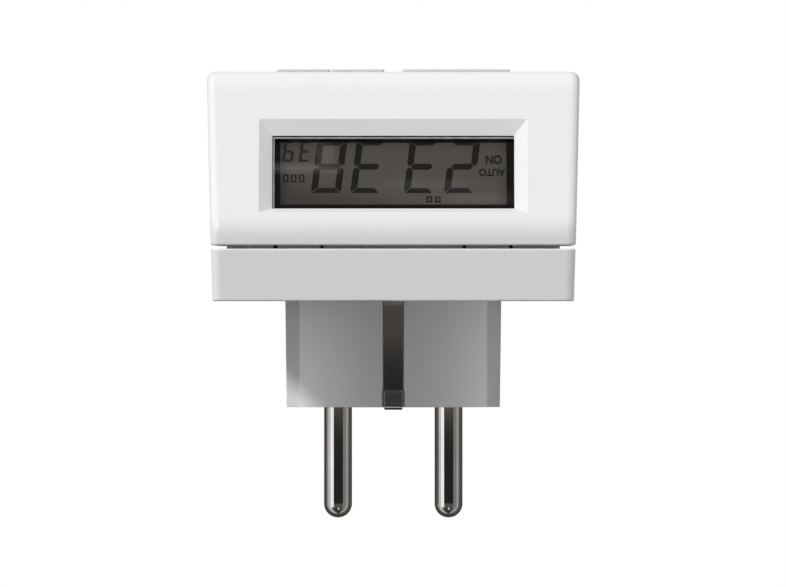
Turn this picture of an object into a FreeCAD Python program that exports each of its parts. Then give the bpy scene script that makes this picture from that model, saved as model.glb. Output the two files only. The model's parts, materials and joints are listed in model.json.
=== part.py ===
import FreeCAD, Part
import math
import os

# Digital plug-in timer with an earthed two-pin plug and socket on one axis.
# Millimetres. The origin is midway between the plug pins, on the face of the plug block.
# +Z points out of the wall, +X to the right when looking at the display, and the
# display end of the casing points to -Y.

V = FreeCAD.Vector

# Plug
pin_pitch = 19.0
pin_radius = 2.4
pin_length = 19.0
pin_root_radius = 3.2
pin_stud_radius = 1.5
stud_head = 0.8
plug_height = 18.2
plug_root_radius = 18.6
plug_end_radius = 18.4
plug_flat = 16.1
ridge_root_reach = 18.55
ridge_end_reach = 18.3
guide_groove = 5.8
ridge_thickness = 2.0
plug_wall = 2.2
plug_floor = 3.0
pin_boss_radius = 4.8
pin_boss_height = 11.5

# Casing
casing_half_width = 30.85
lower_end = 30.0
rear_height = 8.9
rear_draft = 0.25
seam = 0.6
seam_step = 0.05
front_draft = 0.85
front_height = 29.55
wall = 2.5
rear_floor = 2.0
corner_radius = 1.5
lip_edge_radius = 0.3
lip_thickness = 1.2
lip_clearance = 0.2
lip_rise = 1.2
lip_depth = 1.6
tab_centre = 16.0
tab_width = 7.9
tab_slit = 0.55

# Side profile of the display end
end_wall_height = 1.5
chin_radius = 5.8
brow_radius = 10.0
heel_radius = 4.0
display_tilt = 39.0

# Display opening, measured along the slope
chin_to_display = 10.77
bevel_margin = 8.05
bevel_half_height = 10.24
bevel_width = 2.28
bevel_depth = 1.8
window_rim = 0.78
rim_margin = 2.2

# Display stack
window_thickness = 1.0
window_margin = 1.1
panel_gap = 0.1
panel_thickness = 2.2
panel_ledge = 1.4
holder_wall = 2.0
holder_clearance = 0.2
strip_height = 3.1
strip_width = 2.0
strip_length = 38.0
strip_clearance = 0.1
holder_rib = 1.2
display_board_thickness = 1.2
display_board_half_height = 10.8
display_board_margin = 1.2
display_board_ear = -6.5
display_post_radius = 1.7
display_post_gap = 0.3
display_post_rows = (-3.5, 8.0)
board_foot_gap = 0.45
ribbon_thickness = 0.5
ribbon_span = (-8.0, 4.0)
ribbon_start = 7.0
ribbon_stand = 2.0
ribbon_inset = 2.4
chip_radius = 5.4
chip_rise = 1.8
crystal_radius = 1.1
crystal_span = (-16.5, -10.0)
crystal_row = -2.0

# Socket
well_radius = 19.9
well_wall = 2.0
well_depth = 17.5
well_floor = 2.5
entry_radius = 2.75
guide_rib_width = 5.0
guide_rib_reach = 2.2
guide_rib_drop = 1.5

# Keys
key_inner_edge = 1.55
key_outer_edge = 19.85
key_split = 10.7
key_split_gap = 0.2
key_depth = 6.0
key_row_pitch = 9.0
well_to_keys = 4.1
keys_to_brow = 3.18
key_stand = 0.45
key_travel = 0.4
key_clearance = 0.15
key_edge_radius = 0.25
key_corner_radius = 0.5
key_flange = 0.8
key_flange_thickness = 1.2
key_flange_gap = 0.25
key_stem_radius = 1.7
reset_radius = 1.2
reset_recess = 0.6
reset_flange = 0.25
reset_plunger_radius = 0.8
reset_switch_size = 3.8
reset_switch_bore = 1.0

# Switches and their board
switch_size = 6.0
switch_height = 3.5
switch_bore = 1.9
switch_corner_radius = 0.4
plunger_radius = 1.6
plunger_stand = 1.2
plunger_depth = 1.5
plunger_end_gap = 0.1
key_stem_length = 1.6
key_board_thickness = 1.6
key_board_side_gap = 1.65
key_board_margin = 2.4
key_post_inset = 2.5
key_post_offset = 2.0

# Posts and screws
post_radius = 2.2
small_shank = 0.9
small_head_radius = 1.8
small_head = 1.2
small_grip = 3.4
cover_post_radius = 3.4
cover_post_gap = 0.25
cover_shank = 1.4
cover_head_radius = 2.8
cover_head = 2.0
cover_head_recess = 2.6
cover_grip = 9.0
cover_head_clearance = 0.3
hole_clearance = 0.1
screw_end_gap = 0.6
drive_half_length = 2.0
drive_half_width = 0.35
drive_depth = 0.8

# Power board and what stands on it
board_side_gap = 0.75
board_display_gap = 10.5
board_well_gap = 0.6
board_stand = 3.8
power_board_thickness = 1.6
power_post_inset = 2.3
power_post_display_inset = 3.0
power_post_well_inset = 2.5

relay_inset = 1.5
relay_well_inset = 5.3
relay_length = 19.5
relay_width = 15.4
relay_height = 15.4
relay_base_height = 1.5
relay_wall = 0.8
relay_hinge_inset = 1.8
relay_hinge_height = 12.5
relay_hinge_gap = 0.2
relay_stroke = 4.0
yoke_thickness = 1.2
yoke_half_width = 3.8
coil_from_hinge = 9.2
core_radius = 1.8
pole_radius = 3.0
pole_thickness = 1.0
bobbin_wall = 0.8
bobbin_flange = 0.7
flange_radius = 4.8
winding_radius = 4.4
armature_thickness = 1.0
armature_length = 13.7
armature_heel = 0.4
armature_half_width = 4.0
blade_thickness = 0.3
blade_length = 13.0
blade_half_width = 1.6
blade_end_gap = 0.2
contact_inset = 0.9
contact_radius = 0.9
contact_height = 0.6
contact_gap = 0.1

part_gap = 0.6
film_capacitor_size = (8.5, 18.0, 14.0)
film_capacitor_gap = 2.0
varistor_radius = 5.0
varistor_thickness = 3.6
varistor_stand = 1.5
varistor_leg_spread = 2.5
electrolytic_radius = 5.0
electrolytic_height = 16.0
sleeve_groove = (2.0, 2.8)
sleeve_groove_depth = 0.4
tall_parts_inset = 2.7
cell_side_inset = 2.6
cell_display_inset = 6.2
cell_radius = 7.7
cell_height = 5.4
cell_tab = 0.3
cell_stand = 0.9
cell_rim_radius = 0.8
cell_tab_width = 4.0
cell_tab_reach = 3.0
cell_tab_gap = 0.4
diode_radius = 1.35
diode_length = 5.2
diode_pitch = 4.4
diode_side_inset = 4.1
diode_display_inset = 9.5
diode_count = 4
resistor_radius = 1.2
resistor_length = 6.4
resistor_pitch = 3.6
resistor_count = 3
lead_radius = 0.35
leg_radius = 0.28
lead_bend = 1.2

# How far a feature reaches into what it joins, and how far a cut runs past it
overlap = 0.5
past = 1.0

# Contacts
strip_thickness = 0.8
contact_base_half_width = 3.0
leaf_thickness = 0.5
leaf_half_width = 2.5
leaf_root = 2.85
leaf_pinch = 2.1
leaf_mouth = 3.0
leaf_shutter_gap = 0.75
leaf_mouth_height = 2.5
leaf_straight = 6.0
tail_width = 2.4
tail_landing = 3.0
feed_riser = 8.0
return_riser = 13.0
tail_offset = 3.3
earth_width = 3.45
earth_slot = 3.6
earth_slot_mouth = 3.85
earth_slot_mouth_height = 2.95
earth_slot_floor = 17.2
earth_thickness = 0.8
earth_inset = 0.35
earth_hook_drop = 0.43
earth_hook_reach = 2.6
earth_rim_gap = 5.25
earth_bulge = 1.6
earth_bulge_start = 3.0
earth_bulge_drop = 4.0
earth_lead_in = 0.4
bridge_end_height = 4.0

# Contact carrier and shutter
carrier_radius = 19.6
carrier_thickness = 1.5
carrier_cut_clearance = 0.3
shutter_thickness = 2.2
shutter_clearance = 0.3
shutter_hub_radius = 6.3
shutter_lobe_radius = 13.6
shutter_lobe_angle = 24.0
pivot_radius = 2.0
running_clearance = 0.06
clip_thickness = 0.5
clip_radius = 3.4
peg_radius = 0.8
peg_angle = 110.0
peg_distance = 5.4
peg_length = 3.0
pivot_end = 0.3
ramp_start = 6.0
ramp_width = 5.6
ramp_lip = 0.9
spring_thickness = 0.3
spring_height = 2.0
spring_drop = 0.8
spring_reach = 14.6
spring_seat = 2.2
spring_post_walls = (1.6, 0.8)
spring_peg_gap = 0.02

# Derived levels and places
rear_top = plug_height + rear_height
front_bottom = rear_top + seam
front_top = front_bottom + front_height
floor_level = plug_height + rear_floor
ceiling = front_top - wall
rear_half_bottom = casing_half_width - rear_draft
front_half_seam = casing_half_width + seam_step
front_half_top = front_half_seam + front_draft
cavity_half = front_half_seam - wall
lip_half = cavity_half - lip_clearance
lip_inner_half = lip_half - lip_thickness
lip_inner_end = lower_end - wall - lip_clearance - lip_thickness
cover_post_x = lip_inner_half - cover_post_radius - cover_post_gap
cover_post_y = lip_inner_end - cover_post_radius - cover_post_gap
bevel_half_width = casing_half_width - bevel_margin
pin_x = pin_pitch / 2
well_bottom = front_top - well_depth
well_underside = well_bottom - well_floor
slope_sin = math.sin(math.radians(display_tilt))
slope_cos = math.cos(math.radians(display_tilt))
chin_top = front_bottom + end_wall_height + chin_radius * slope_sin
brow_bottom = front_top - brow_radius * (1 - slope_sin)
slope_length = (brow_bottom - chin_top) / slope_cos
socket_row = -(well_radius + well_wall + well_to_keys + key_depth / 2)
display_row = socket_row - key_row_pitch
reset_y = (socket_row + display_row) / 2
brow_start = display_row - key_depth / 2 - keys_to_brow
chin_end_y = brow_start - brow_radius * slope_cos - slope_length * slope_sin
display_end = chin_end_y - chin_radius * (1 - slope_cos)
window_face = -(bevel_depth + window_rim)
window_back = window_face - window_thickness
panel_front = window_back - panel_gap
panel_back = panel_front - panel_thickness
display_board_front = panel_back - strip_height
display_board_back = display_board_front - display_board_thickness
window_half_width = bevel_half_width - bevel_width
window_half_height = bevel_half_height - bevel_width
glass_half_width = window_half_width + window_margin
glass_half_height = window_half_height + window_margin
holder_room_half = glass_half_width + holder_clearance
holder_half_width = holder_room_half + holder_wall
display_post_x = holder_half_width + display_post_gap + display_post_radius
display_board_half_width = display_post_x + display_board_margin
key_flange_top = ceiling - key_flange_gap
key_flange_bottom = key_flange_top - key_flange_thickness
plunger_top = key_flange_bottom - key_stem_length
switch_top = plunger_top - plunger_stand
switch_bore_depth = plunger_depth + key_travel + plunger_end_gap
key_board_top = switch_top - switch_height
key_board_bottom = key_board_top - key_board_thickness
key_board_half_width = cavity_half - key_board_side_gap
key_board_start = display_row - key_depth / 2 - key_board_margin
key_board_end = socket_row + key_depth / 2 + key_board_margin
key_post_x = key_board_half_width - key_post_inset
key_post_rows = (display_row - key_post_offset, socket_row + key_post_offset)
power_board_height = floor_level + board_stand
power_board_top = power_board_height + power_board_thickness
power_board_half_width = lip_inner_half - board_side_gap
power_board_start = display_end + board_display_gap
power_board_end = -(well_radius + well_wall + board_well_gap)
power_post_x = power_board_half_width - power_post_inset
power_post_rows = (
    power_board_start + power_post_display_inset,
    power_board_end - power_post_well_inset,
)
relay_x = (-power_board_half_width + relay_inset, -power_board_half_width + relay_inset + relay_length)
relay_y = (power_board_end - relay_well_inset - relay_width, power_board_end - relay_well_inset)
relay_hinge_x = relay_x[1] - relay_hinge_inset
relay_coil_x = relay_hinge_x - coil_from_hinge
contact_x = relay_x[0] + relay_wall + blade_end_gap + contact_inset
shutter_top = well_underside - shutter_clearance
shutter_bottom = shutter_top - shutter_thickness
clip_top = shutter_bottom - shutter_clearance
leaf_top = shutter_bottom - leaf_shutter_gap
earth_top = front_top - earth_rim_gap


def box(x0, x1, y0, y1, z0, z1):
    return Part.makeBox(x1 - x0, y1 - y0, z1 - z0, V(x0, y0, z0))


def rod(radius, z0, z1, x=0.0, y=0.0):
    return Part.makeCylinder(radius, z1 - z0, V(x, y, z0))


def rod_along_x(radius, x0, x1, y, z):
    return Part.makeCylinder(radius, x1 - x0, V(x0, y, z), V(1, 0, 0))


def rod_along_y(radius, y0, y1, x, z):
    return Part.makeCylinder(radius, y1 - y0, V(x, y0, z), V(0, 1, 0))


def polygon_along_x(points, x0, x1):
    """Solid with an outline of (y, z) points, from x0 to x1."""
    corners = [V(x0, y, z) for y, z in points]
    face = Part.Face(Part.makePolygon(corners + corners[:1]))
    return face.extrude(V(x1 - x0, 0, 0))


def polygon_along_y(points, y0, y1):
    """Solid with an outline of (x, z) points, from y0 to y1."""
    corners = [V(x, y0, z) for x, z in points]
    face = Part.Face(Part.makePolygon(corners + corners[:1]))
    return face.extrude(V(0, y1 - y0, 0))


def joined(first, *others):
    return first.fuse(list(others)).removeSplitter()


def sided(side, near, far):
    """Two distances from the axis as ordered coordinates on one side of it."""
    return sorted((side * near, side * far))


def upright_edges(shape):
    """Edges of a shape that run along Z."""
    return [e for e in shape.Edges if e.BoundBox.XLength < 1e-6 and e.BoundBox.YLength < 1e-6]


def rounded_box(x0, x1, y0, y1, z0, z1, radius):
    """Box whose upright edges are rounded."""
    plain = box(x0, x1, y0, y1, z0, z1)
    return plain.makeFillet(radius, upright_edges(plain))


def bent_strip(path, thickness, x0, x1):
    """Flat strip whose middle line follows a path of (y, z) points."""
    upper = []
    lower = []
    for index, (y, z) in enumerate(path):
        before = path[max(index - 1, 0)]
        after = path[min(index + 1, len(path) - 1)]
        first = V(y - before[0], z - before[1], 0)
        second = V(after[0] - y, after[1] - z, 0)
        if first.Length < 1e-9:
            first = second
        if second.Length < 1e-9:
            second = first
        first.normalize()
        second.normalize()
        mitre = V(-first.y - second.y, first.x + second.x, 0)
        mitre.normalize()
        reach = thickness / 2 / (mitre.dot(V(-first.y, first.x, 0)))
        upper.append((y + mitre.x * reach, z + mitre.y * reach))
        lower.append((y - mitre.x * reach, z - mitre.y * reach))
    return polygon_along_x(upper + lower[::-1], x0, x1)


def mirrored(shape, normal):
    return shape.mirror(V(0, 0, 0), normal)


def slope_origin():
    """Centre of the display opening on the sloping face, as (y, z)."""
    return chin_end_y + chin_to_display * slope_sin, chin_top + chin_to_display * slope_cos


def on_slope(shape):
    """Moves a shape from (across, up the slope, out of the slope) to its place."""
    y, z = slope_origin()
    placed = shape.copy()
    turn = FreeCAD.Rotation(V(1, 0, 0), 90 - display_tilt)
    placed.Placement = FreeCAD.Placement(V(0, y, z), turn)
    return placed


def side_profile(inset, x, bottom):
    """Closed outline of the front cover seen from the side, moved in by inset."""
    chin = V(x, display_end + chin_radius, front_bottom + end_wall_height)
    chin_r = chin_radius - inset
    brow_r = brow_radius - inset
    heel_r = heel_radius - inset
    chin_end = chin + V(0, -slope_cos, slope_sin) * chin_r
    brow_start = chin_end + V(0, slope_sin, slope_cos) * slope_length
    brow = brow_start - V(0, -slope_cos, slope_sin) * brow_r
    heel = V(x, lower_end - heel_radius, front_top - heel_radius)

    def arc(centre, radius, start, end):
        middle = math.radians((start + end) / 2)
        points = [
            centre + V(0, math.cos(a), math.sin(a)) * radius
            for a in (math.radians(start), middle, math.radians(end))
        ]
        return Part.Arc(*points).toShape()

    slope_angle = 180 - display_tilt
    chin_arc = arc(chin, chin_r, 180, slope_angle)
    brow_arc = arc(brow, brow_r, slope_angle, 90)
    heel_arc = arc(heel, heel_r, 90, 0)
    low_left = V(x, display_end + inset, bottom)
    low_right = V(x, lower_end - inset, bottom)
    brow_top = brow + V(0, 0, brow_r)
    heel_top = heel + V(0, 0, heel_r)
    heel_side = heel + V(0, heel_r, 0)
    chin_side = chin - V(0, chin_r, 0)
    edges = [
        Part.makeLine(low_left, chin_side),
        chin_arc,
        Part.makeLine(chin_end, brow_start),
        brow_arc,
        Part.makeLine(brow_top, heel_top),
        heel_arc,
        Part.makeLine(heel_side, low_right),
        Part.makeLine(low_right, low_left),
    ]
    return Part.Wire(edges)


def front_outer():
    """Outer form of the front cover, wider at the front than at the seam."""
    wide = front_half_top + past
    profile = Part.Face(side_profile(0, -wide, front_bottom)).extrude(V(2 * wide, 0, 0))
    trapezoid = [
        (-front_half_seam, front_bottom),
        (front_half_seam, front_bottom),
        (front_half_top, front_top),
        (-front_half_top, front_top),
    ]
    block = profile.common(polygon_along_y(trapezoid, display_end - past, lower_end + past))
    side_edges = []
    bottom_edges = []
    for edge in block.Edges:
        ends = [vertex.Point for vertex in edge.Vertexes]
        low = all(abs(p.z - front_bottom) < 1e-6 for p in ends)
        across = abs(ends[0].x - ends[-1].x) > front_half_seam
        if low:
            bottom_edges.append(edge)
        elif not across:
            side_edges.append(edge)
    rounded = block.makeFillet(corner_radius, side_edges)
    rim = [
        edge
        for edge in rounded.Edges
        if edge.BoundBox.ZLength < 1e-6 and abs(edge.BoundBox.ZMin - front_bottom) < 1e-6
    ]
    return rounded.makeFillet(lip_edge_radius, rim)


def bevel_cutter():
    """Recess with sloping sides round the display window, in slope axes."""
    x0, y0 = bevel_half_width, bevel_half_height
    x1, y1 = window_half_width, window_half_height
    grow = past
    x2 = x0 + bevel_width * grow / bevel_depth
    y2 = y0 + bevel_width * grow / bevel_depth

    def rectangle(x, y, level):
        corners = [V(-x, -y, level), V(x, -y, level), V(x, y, level), V(-x, y, level)]
        return Part.makePolygon(corners + corners[:1])

    return Part.makeLoft([rectangle(x2, y2, grow), rectangle(x1, y1, -bevel_depth)], True, True)


def key_spans():
    """Left and right edge of each key in a row."""
    half_gap = key_split_gap / 2
    return [
        (-key_outer_edge, -key_split - half_gap),
        (-key_split + half_gap, -key_inner_edge),
        (key_inner_edge, key_outer_edge),
    ]


def make_front_cover():
    inner = Part.Face(side_profile(wall, -cavity_half, front_bottom - past)).extrude(
        V(2 * cavity_half, 0, 0)
    )
    cover = front_outer().cut(inner)

    rim_x = window_half_width + rim_margin
    rim_s = window_half_height + rim_margin
    rim = on_slope(box(-rim_x, rim_x, -rim_s, rim_s, window_face, overlap - wall))
    well = rod(well_radius + well_wall, well_underside, front_top - wall / 2)
    posts = []
    for x in (-display_post_x, display_post_x):
        for s in display_post_rows:
            post = Part.makeCylinder(
                display_post_radius, overlap - wall - display_board_front, V(x, s, display_board_front)
            )
            posts.append(on_slope(post))
    for x in (-key_post_x, key_post_x):
        for y in key_post_rows:
            posts.append(rod(post_radius, key_board_top, ceiling + overlap, x, y))
    for x in (-cover_post_x, cover_post_x):
        posts.append(rod(cover_post_radius, front_bottom, ceiling + overlap, x, cover_post_y))
    cover = joined(cover, rim, well, *posts)

    ribs = []
    rib_edge = well_radius - guide_rib_reach
    for side in (-1, 1):
        x0, x1 = sided(side, rib_edge, well_radius + well_wall / 2)
        half = guide_rib_width / 2
        ribs.append(box(x0, x1, -half, half, well_bottom, front_top - guide_rib_drop))
    cover = cover.cut(rod(well_radius, well_bottom, front_top + past))
    pivot = rod(pivot_radius, clip_top - clip_thickness - pivot_end, well_underside + overlap)
    cover = joined(cover, *ribs, pivot)

    cutters = [on_slope(bevel_cutter())]
    opening = box(
        -window_half_width,
        window_half_width,
        -window_half_height,
        window_half_height,
        window_face - past,
        overlap - bevel_depth,
    )
    cutters.append(on_slope(opening))
    for x in (-pin_x, pin_x):
        cutters.append(rod(entry_radius, well_underside - past, well_bottom + past, x, 0))
    half_slot = earth_width / 2 + earth_inset
    for side in (-1, 1):
        y0, y1 = sided(side, earth_line() - earth_thickness, earth_line() + earth_thickness)
        cutters.append(box(-half_slot, half_slot, y0, y1, well_underside - past, well_bottom + past))
    reach = key_depth / 2 + key_clearance
    for row in (display_row, socket_row):
        for side in (-1, 1):
            x0, x1 = sided(side, key_inner_edge, key_outer_edge)
            x0 -= key_clearance
            x1 += key_clearance
            cutters.append(box(x0, x1, row - reach, row + reach, ceiling - past, front_top + past))
    cutters.append(rod(reset_radius + key_clearance, ceiling - past, front_top + past, 0, reset_y))
    for x in (-cover_post_x, cover_post_x):
        cutters.append(rod(cover_shank, front_bottom - past, front_bottom + cover_grip, x, cover_post_y))
    for x in (-key_post_x, key_post_x):
        for y in key_post_rows:
            cutters.append(rod(small_shank, key_board_top - past, key_board_top + small_grip, x, y))
    for x in (-display_post_x, display_post_x):
        for s in display_post_rows:
            hole = Part.makeCylinder(small_shank, small_grip + past, V(x, s, display_board_front - past))
            cutters.append(on_slope(hole))
    return cover.cut(cutters)


def rounded_outline(half_width, y0, y1, radius, z):
    """Closed outline of a rectangle with round corners at one height."""
    x = half_width
    r = radius
    bulge = r * (1 - math.sqrt(0.5))
    edges = [
        Part.makeLine(V(-x + r, y0, z), V(x - r, y0, z)),
        Part.Arc(V(x - r, y0, z), V(x - bulge, y0 + bulge, z), V(x, y0 + r, z)).toShape(),
        Part.makeLine(V(x, y0 + r, z), V(x, y1 - r, z)),
        Part.Arc(V(x, y1 - r, z), V(x - bulge, y1 - bulge, z), V(x - r, y1, z)).toShape(),
        Part.makeLine(V(x - r, y1, z), V(-x + r, y1, z)),
        Part.Arc(V(-x + r, y1, z), V(-x + bulge, y1 - bulge, z), V(-x, y1 - r, z)).toShape(),
        Part.makeLine(V(-x, y1 - r, z), V(-x, y0 + r, z)),
        Part.Arc(V(-x, y0 + r, z), V(-x + bulge, y0 + bulge, z), V(-x + r, y0, z)).toShape(),
    ]
    return Part.Wire(edges)


def plug_body(root_radius, end_radius, flat, bottom, top):
    """Round plug block with two flats, between two levels."""
    slope = (root_radius - end_radius) / plug_height
    low = end_radius + slope * bottom
    high = end_radius + slope * top
    cone = Part.makeCone(low, high, top - bottom, V(0, 0, bottom))
    return cone.common(box(-flat, flat, -root_radius - past, root_radius + past, bottom, top))


def guide_ridges():
    """Ridges that flank the guide groove on each side of the plug block."""
    ridges = []
    for side in (-1, 1):
        outline = [
            (side * (plug_flat - past), 0),
            (side * ridge_end_reach, 0),
            (side * ridge_root_reach, plug_height + overlap),
            (side * (plug_flat - past), plug_height + overlap),
        ]
        for near in (-1, 1):
            y0, y1 = sided(near, guide_groove / 2, guide_groove / 2 + ridge_thickness)
            ridges.append(polygon_along_y(outline, y0, y1))
    return ridges


def snap_slits():
    """Narrow slits that free two snap tabs in the lip at the display end."""
    lip_start = display_end + wall + lip_clearance
    y0 = lip_start - overlap
    y1 = lip_start + lip_thickness + overlap
    cuts = []
    for centre in (-tab_centre, tab_centre):
        for edge in (-tab_width / 2, tab_width / 2):
            x0 = centre + edge - tab_slit / 2
            cuts.append(box(x0, x0 + tab_slit, y0, y1, rear_top, front_bottom + lip_rise + past))
    return cuts


def make_rear_cover():
    low = rounded_outline(
        rear_half_bottom, display_end + rear_draft, lower_end - rear_draft, corner_radius, plug_height
    )
    high = rounded_outline(casing_half_width, display_end, lower_end, corner_radius, rear_top)
    tray = Part.makeLoft([low, high], True, True)
    rims = [edge for edge in tray.Edges if edge.BoundBox.ZLength < 1e-6]
    tray = tray.makeFillet(lip_edge_radius, rims)
    room = box(
        -cavity_half, cavity_half, display_end + wall, lower_end - wall, floor_level, rear_top + past
    )
    tray = tray.cut(room)

    lip_end = display_end + wall + lip_clearance
    lip_lower = lower_end - wall - lip_clearance
    lip_top = front_bottom + lip_rise
    outer = box(-lip_half, lip_half, lip_end, lip_lower, rear_top - lip_depth, lip_top)
    inner = box(
        -lip_inner_half,
        lip_inner_half,
        lip_end + lip_thickness,
        lip_inner_end,
        rear_top - lip_depth - past,
        lip_top + past,
    )
    lip_root = box(
        -cavity_half - overlap,
        cavity_half + overlap,
        display_end + wall - overlap,
        lower_end - wall + overlap,
        rear_top - lip_depth,
        rear_top - lip_edge_radius,
    )
    lip = joined(outer, lip_root).cut(inner)

    block = plug_body(plug_root_radius, plug_end_radius, plug_flat, 0, floor_level)
    posts = []
    for x in (-power_post_x, power_post_x):
        for y in power_post_rows:
            posts.append(rod(post_radius, floor_level - overlap, power_board_height, x, y))
    for x in (-cover_post_x, cover_post_x):
        posts.append(rod(cover_post_radius, plug_height + overlap, front_bottom, x, cover_post_y))
    cover = joined(tray, lip, block, *guide_ridges(), *posts)

    hollow = plug_body(
        plug_root_radius - plug_wall,
        plug_end_radius - plug_wall,
        plug_flat - plug_wall,
        plug_floor,
        floor_level + past,
    )
    bosses = [rod(pin_boss_radius, plug_floor - overlap, pin_boss_height, x, 0) for x in (-pin_x, pin_x)]
    cover = joined(cover.cut(hollow), *bosses)

    cutters = snap_slits()
    for x in (-pin_x, pin_x):
        cutters.append(rod(pin_root_radius, -past, pin_boss_height + past, x, 0))
    half_slot = earth_slot / 2
    half_mouth = earth_slot_mouth / 2
    for side in (-1, 1):
        y0, y1 = sided(side, earth_slot_floor, plug_root_radius + past)
        cutters.append(box(-half_slot, half_slot, y0, y1, -past, plug_height))
        y0, y1 = sided(side, earth_slot_floor, earth_line() + earth_thickness)
        cutters.append(box(-half_slot, half_slot, y0, y1, plug_height - overlap, floor_level + past))
        y0, y1 = sided(side, earth_slot_floor, plug_root_radius + past)
        cutters.append(box(-half_mouth, half_mouth, y0, y1, -past, earth_slot_mouth_height))
        hook_room = earth_hook_reach + earth_inset
        y0, y1 = sided(side, earth_line() - hook_room, plug_root_radius + past)
        hook_top = earth_hook_level() + earth_thickness / 2
        cutters.append(box(-half_mouth, half_mouth, y0, y1, -past, hook_top))
    for x in (-cover_post_x, cover_post_x):
        recess = cover_head_radius + cover_head_clearance
        hole = cover_shank + hole_clearance
        cutters.append(rod(recess, plug_height - past, screw_seat(), x, cover_post_y))
        cutters.append(rod(hole, plug_height - past, front_bottom + past, x, cover_post_y))
    for x in (-power_post_x, power_post_x):
        for y in power_post_rows:
            top = power_board_height
            cutters.append(rod(small_shank, top - small_grip, top + past, x, y))
    return cover.cut(cutters)


def screw_seat():
    """Level that a cover screw's head bears on."""
    return plug_height + cover_head_recess + cover_head


def earth_line():
    """Distance of an earth strip's middle from the axis."""
    return earth_slot_floor + earth_thickness / 2


def earth_hook_level():
    """Level of the middle of the hook under the plug block."""
    return earth_thickness / 2 - earth_hook_drop


def make_plug_pin(side):
    x = side * pin_x
    tip = pin_radius - pin_length
    plate_top = pin_boss_height + strip_thickness
    shank = rod(pin_radius, tip, 0, x, 0)
    root = rod(pin_root_radius, 0, pin_boss_height, x, 0)
    nose = Part.makeSphere(pin_radius, V(x, 0, tip))
    stud = rod(pin_stud_radius, pin_boss_height - overlap, plate_top, x, 0)
    head = Part.makeCone(pin_stud_radius + stud_head, pin_stud_radius, stud_head, V(x, 0, plate_top))
    return joined(shank, root, nose, stud, head)


def spring_leaves(x0, x1, root_level):
    """Pair of leaves that grip a plug pin between them."""
    leaves = []
    for side in (-1, 1):
        path = [
            (side * leaf_root, root_level),
            (side * leaf_root, root_level + leaf_straight),
            (side * leaf_pinch, leaf_top - leaf_mouth_height),
            (side * leaf_mouth, leaf_top),
        ]
        leaves.append(bent_strip(path, leaf_thickness, x0, x1))
    return leaves


def board_tail(start_level, riser_y, x0, x1, start_y):
    """Strip that runs from a contact's base up and over to the power board."""
    land = power_board_top + strip_thickness / 2
    path = [
        (start_y, start_level),
        (riser_y, start_level),
        (riser_y, land),
        (power_board_end - tail_landing, land),
    ]
    return bent_strip(path, strip_thickness, x0, x1)


def make_neutral_contact():
    level = pin_boss_height + strip_thickness / 2
    half = contact_base_half_width
    base = box(pin_x - half, pin_x + half, -half, half, pin_boss_height, pin_boss_height + strip_thickness)
    leaves = spring_leaves(pin_x - leaf_half_width, pin_x + leaf_half_width, level)
    x1 = pin_x + tail_offset
    tail = board_tail(level, -feed_riser, x1 - tail_width, x1, -half + overlap)
    contact = joined(base, tail, *leaves)
    return contact.cut(rod(pin_stud_radius, level - past, level + past, pin_x, 0))


def make_live_feed_strip():
    level = pin_boss_height + strip_thickness / 2
    half = contact_base_half_width
    base = box(
        -pin_x - half, -pin_x + half, -half, half, pin_boss_height, pin_boss_height + strip_thickness
    )
    x0 = -pin_x - tail_offset
    tail = board_tail(level, -feed_riser, x0, x0 + tail_width, -half + overlap)
    return joined(base, tail).cut(rod(pin_stud_radius, level - past, level + past, -pin_x, 0))


def carrier_top():
    return floor_level + carrier_thickness


def make_live_socket_contact():
    level = carrier_top() + strip_thickness / 2
    half = contact_base_half_width
    under = carrier_top()
    base = box(-pin_x - half, -pin_x + half, -half, half, under, under + strip_thickness)
    leaves = spring_leaves(-pin_x - leaf_half_width, -pin_x + leaf_half_width, level)
    x1 = -pin_x + tail_offset
    tail = board_tail(level, -return_riser, x1 - tail_width, x1, -half + overlap)
    contact = joined(base, tail, *leaves)
    return contact.cut(rod(pin_radius + hole_clearance, level - past, level + past, -pin_x, 0))


def make_earth_strip(side):
    """One strip from the plug block's edge to the spring in the socket well."""
    line = side * earth_line()
    hook = side * (earth_line() - earth_hook_reach)
    path = [
        (hook, earth_hook_level()),
        (line, earth_hook_level()),
        (line, well_bottom + earth_bulge_start),
        (line - side * earth_bulge, earth_top - earth_bulge_drop),
        (line + side * earth_lead_in, earth_top),
    ]
    half = earth_width / 2
    return bent_strip(path, earth_thickness, -half, half)


def make_earth_bridge():
    """Bar that joins the two earth strips inside the casing."""
    inner = earth_line() - earth_thickness / 2
    z0 = carrier_top()
    bar = box(-earth_width / 2, earth_width / 2, -inner, inner, z0, z0 + strip_thickness)
    ends = []
    for side in (-1, 1):
        y0, y1 = sided(side, inner, inner - strip_thickness)
        ends.append(box(-earth_width / 2, earth_width / 2, y0, y1, z0, z0 + bridge_end_height))
    return joined(bar, *ends)


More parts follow.
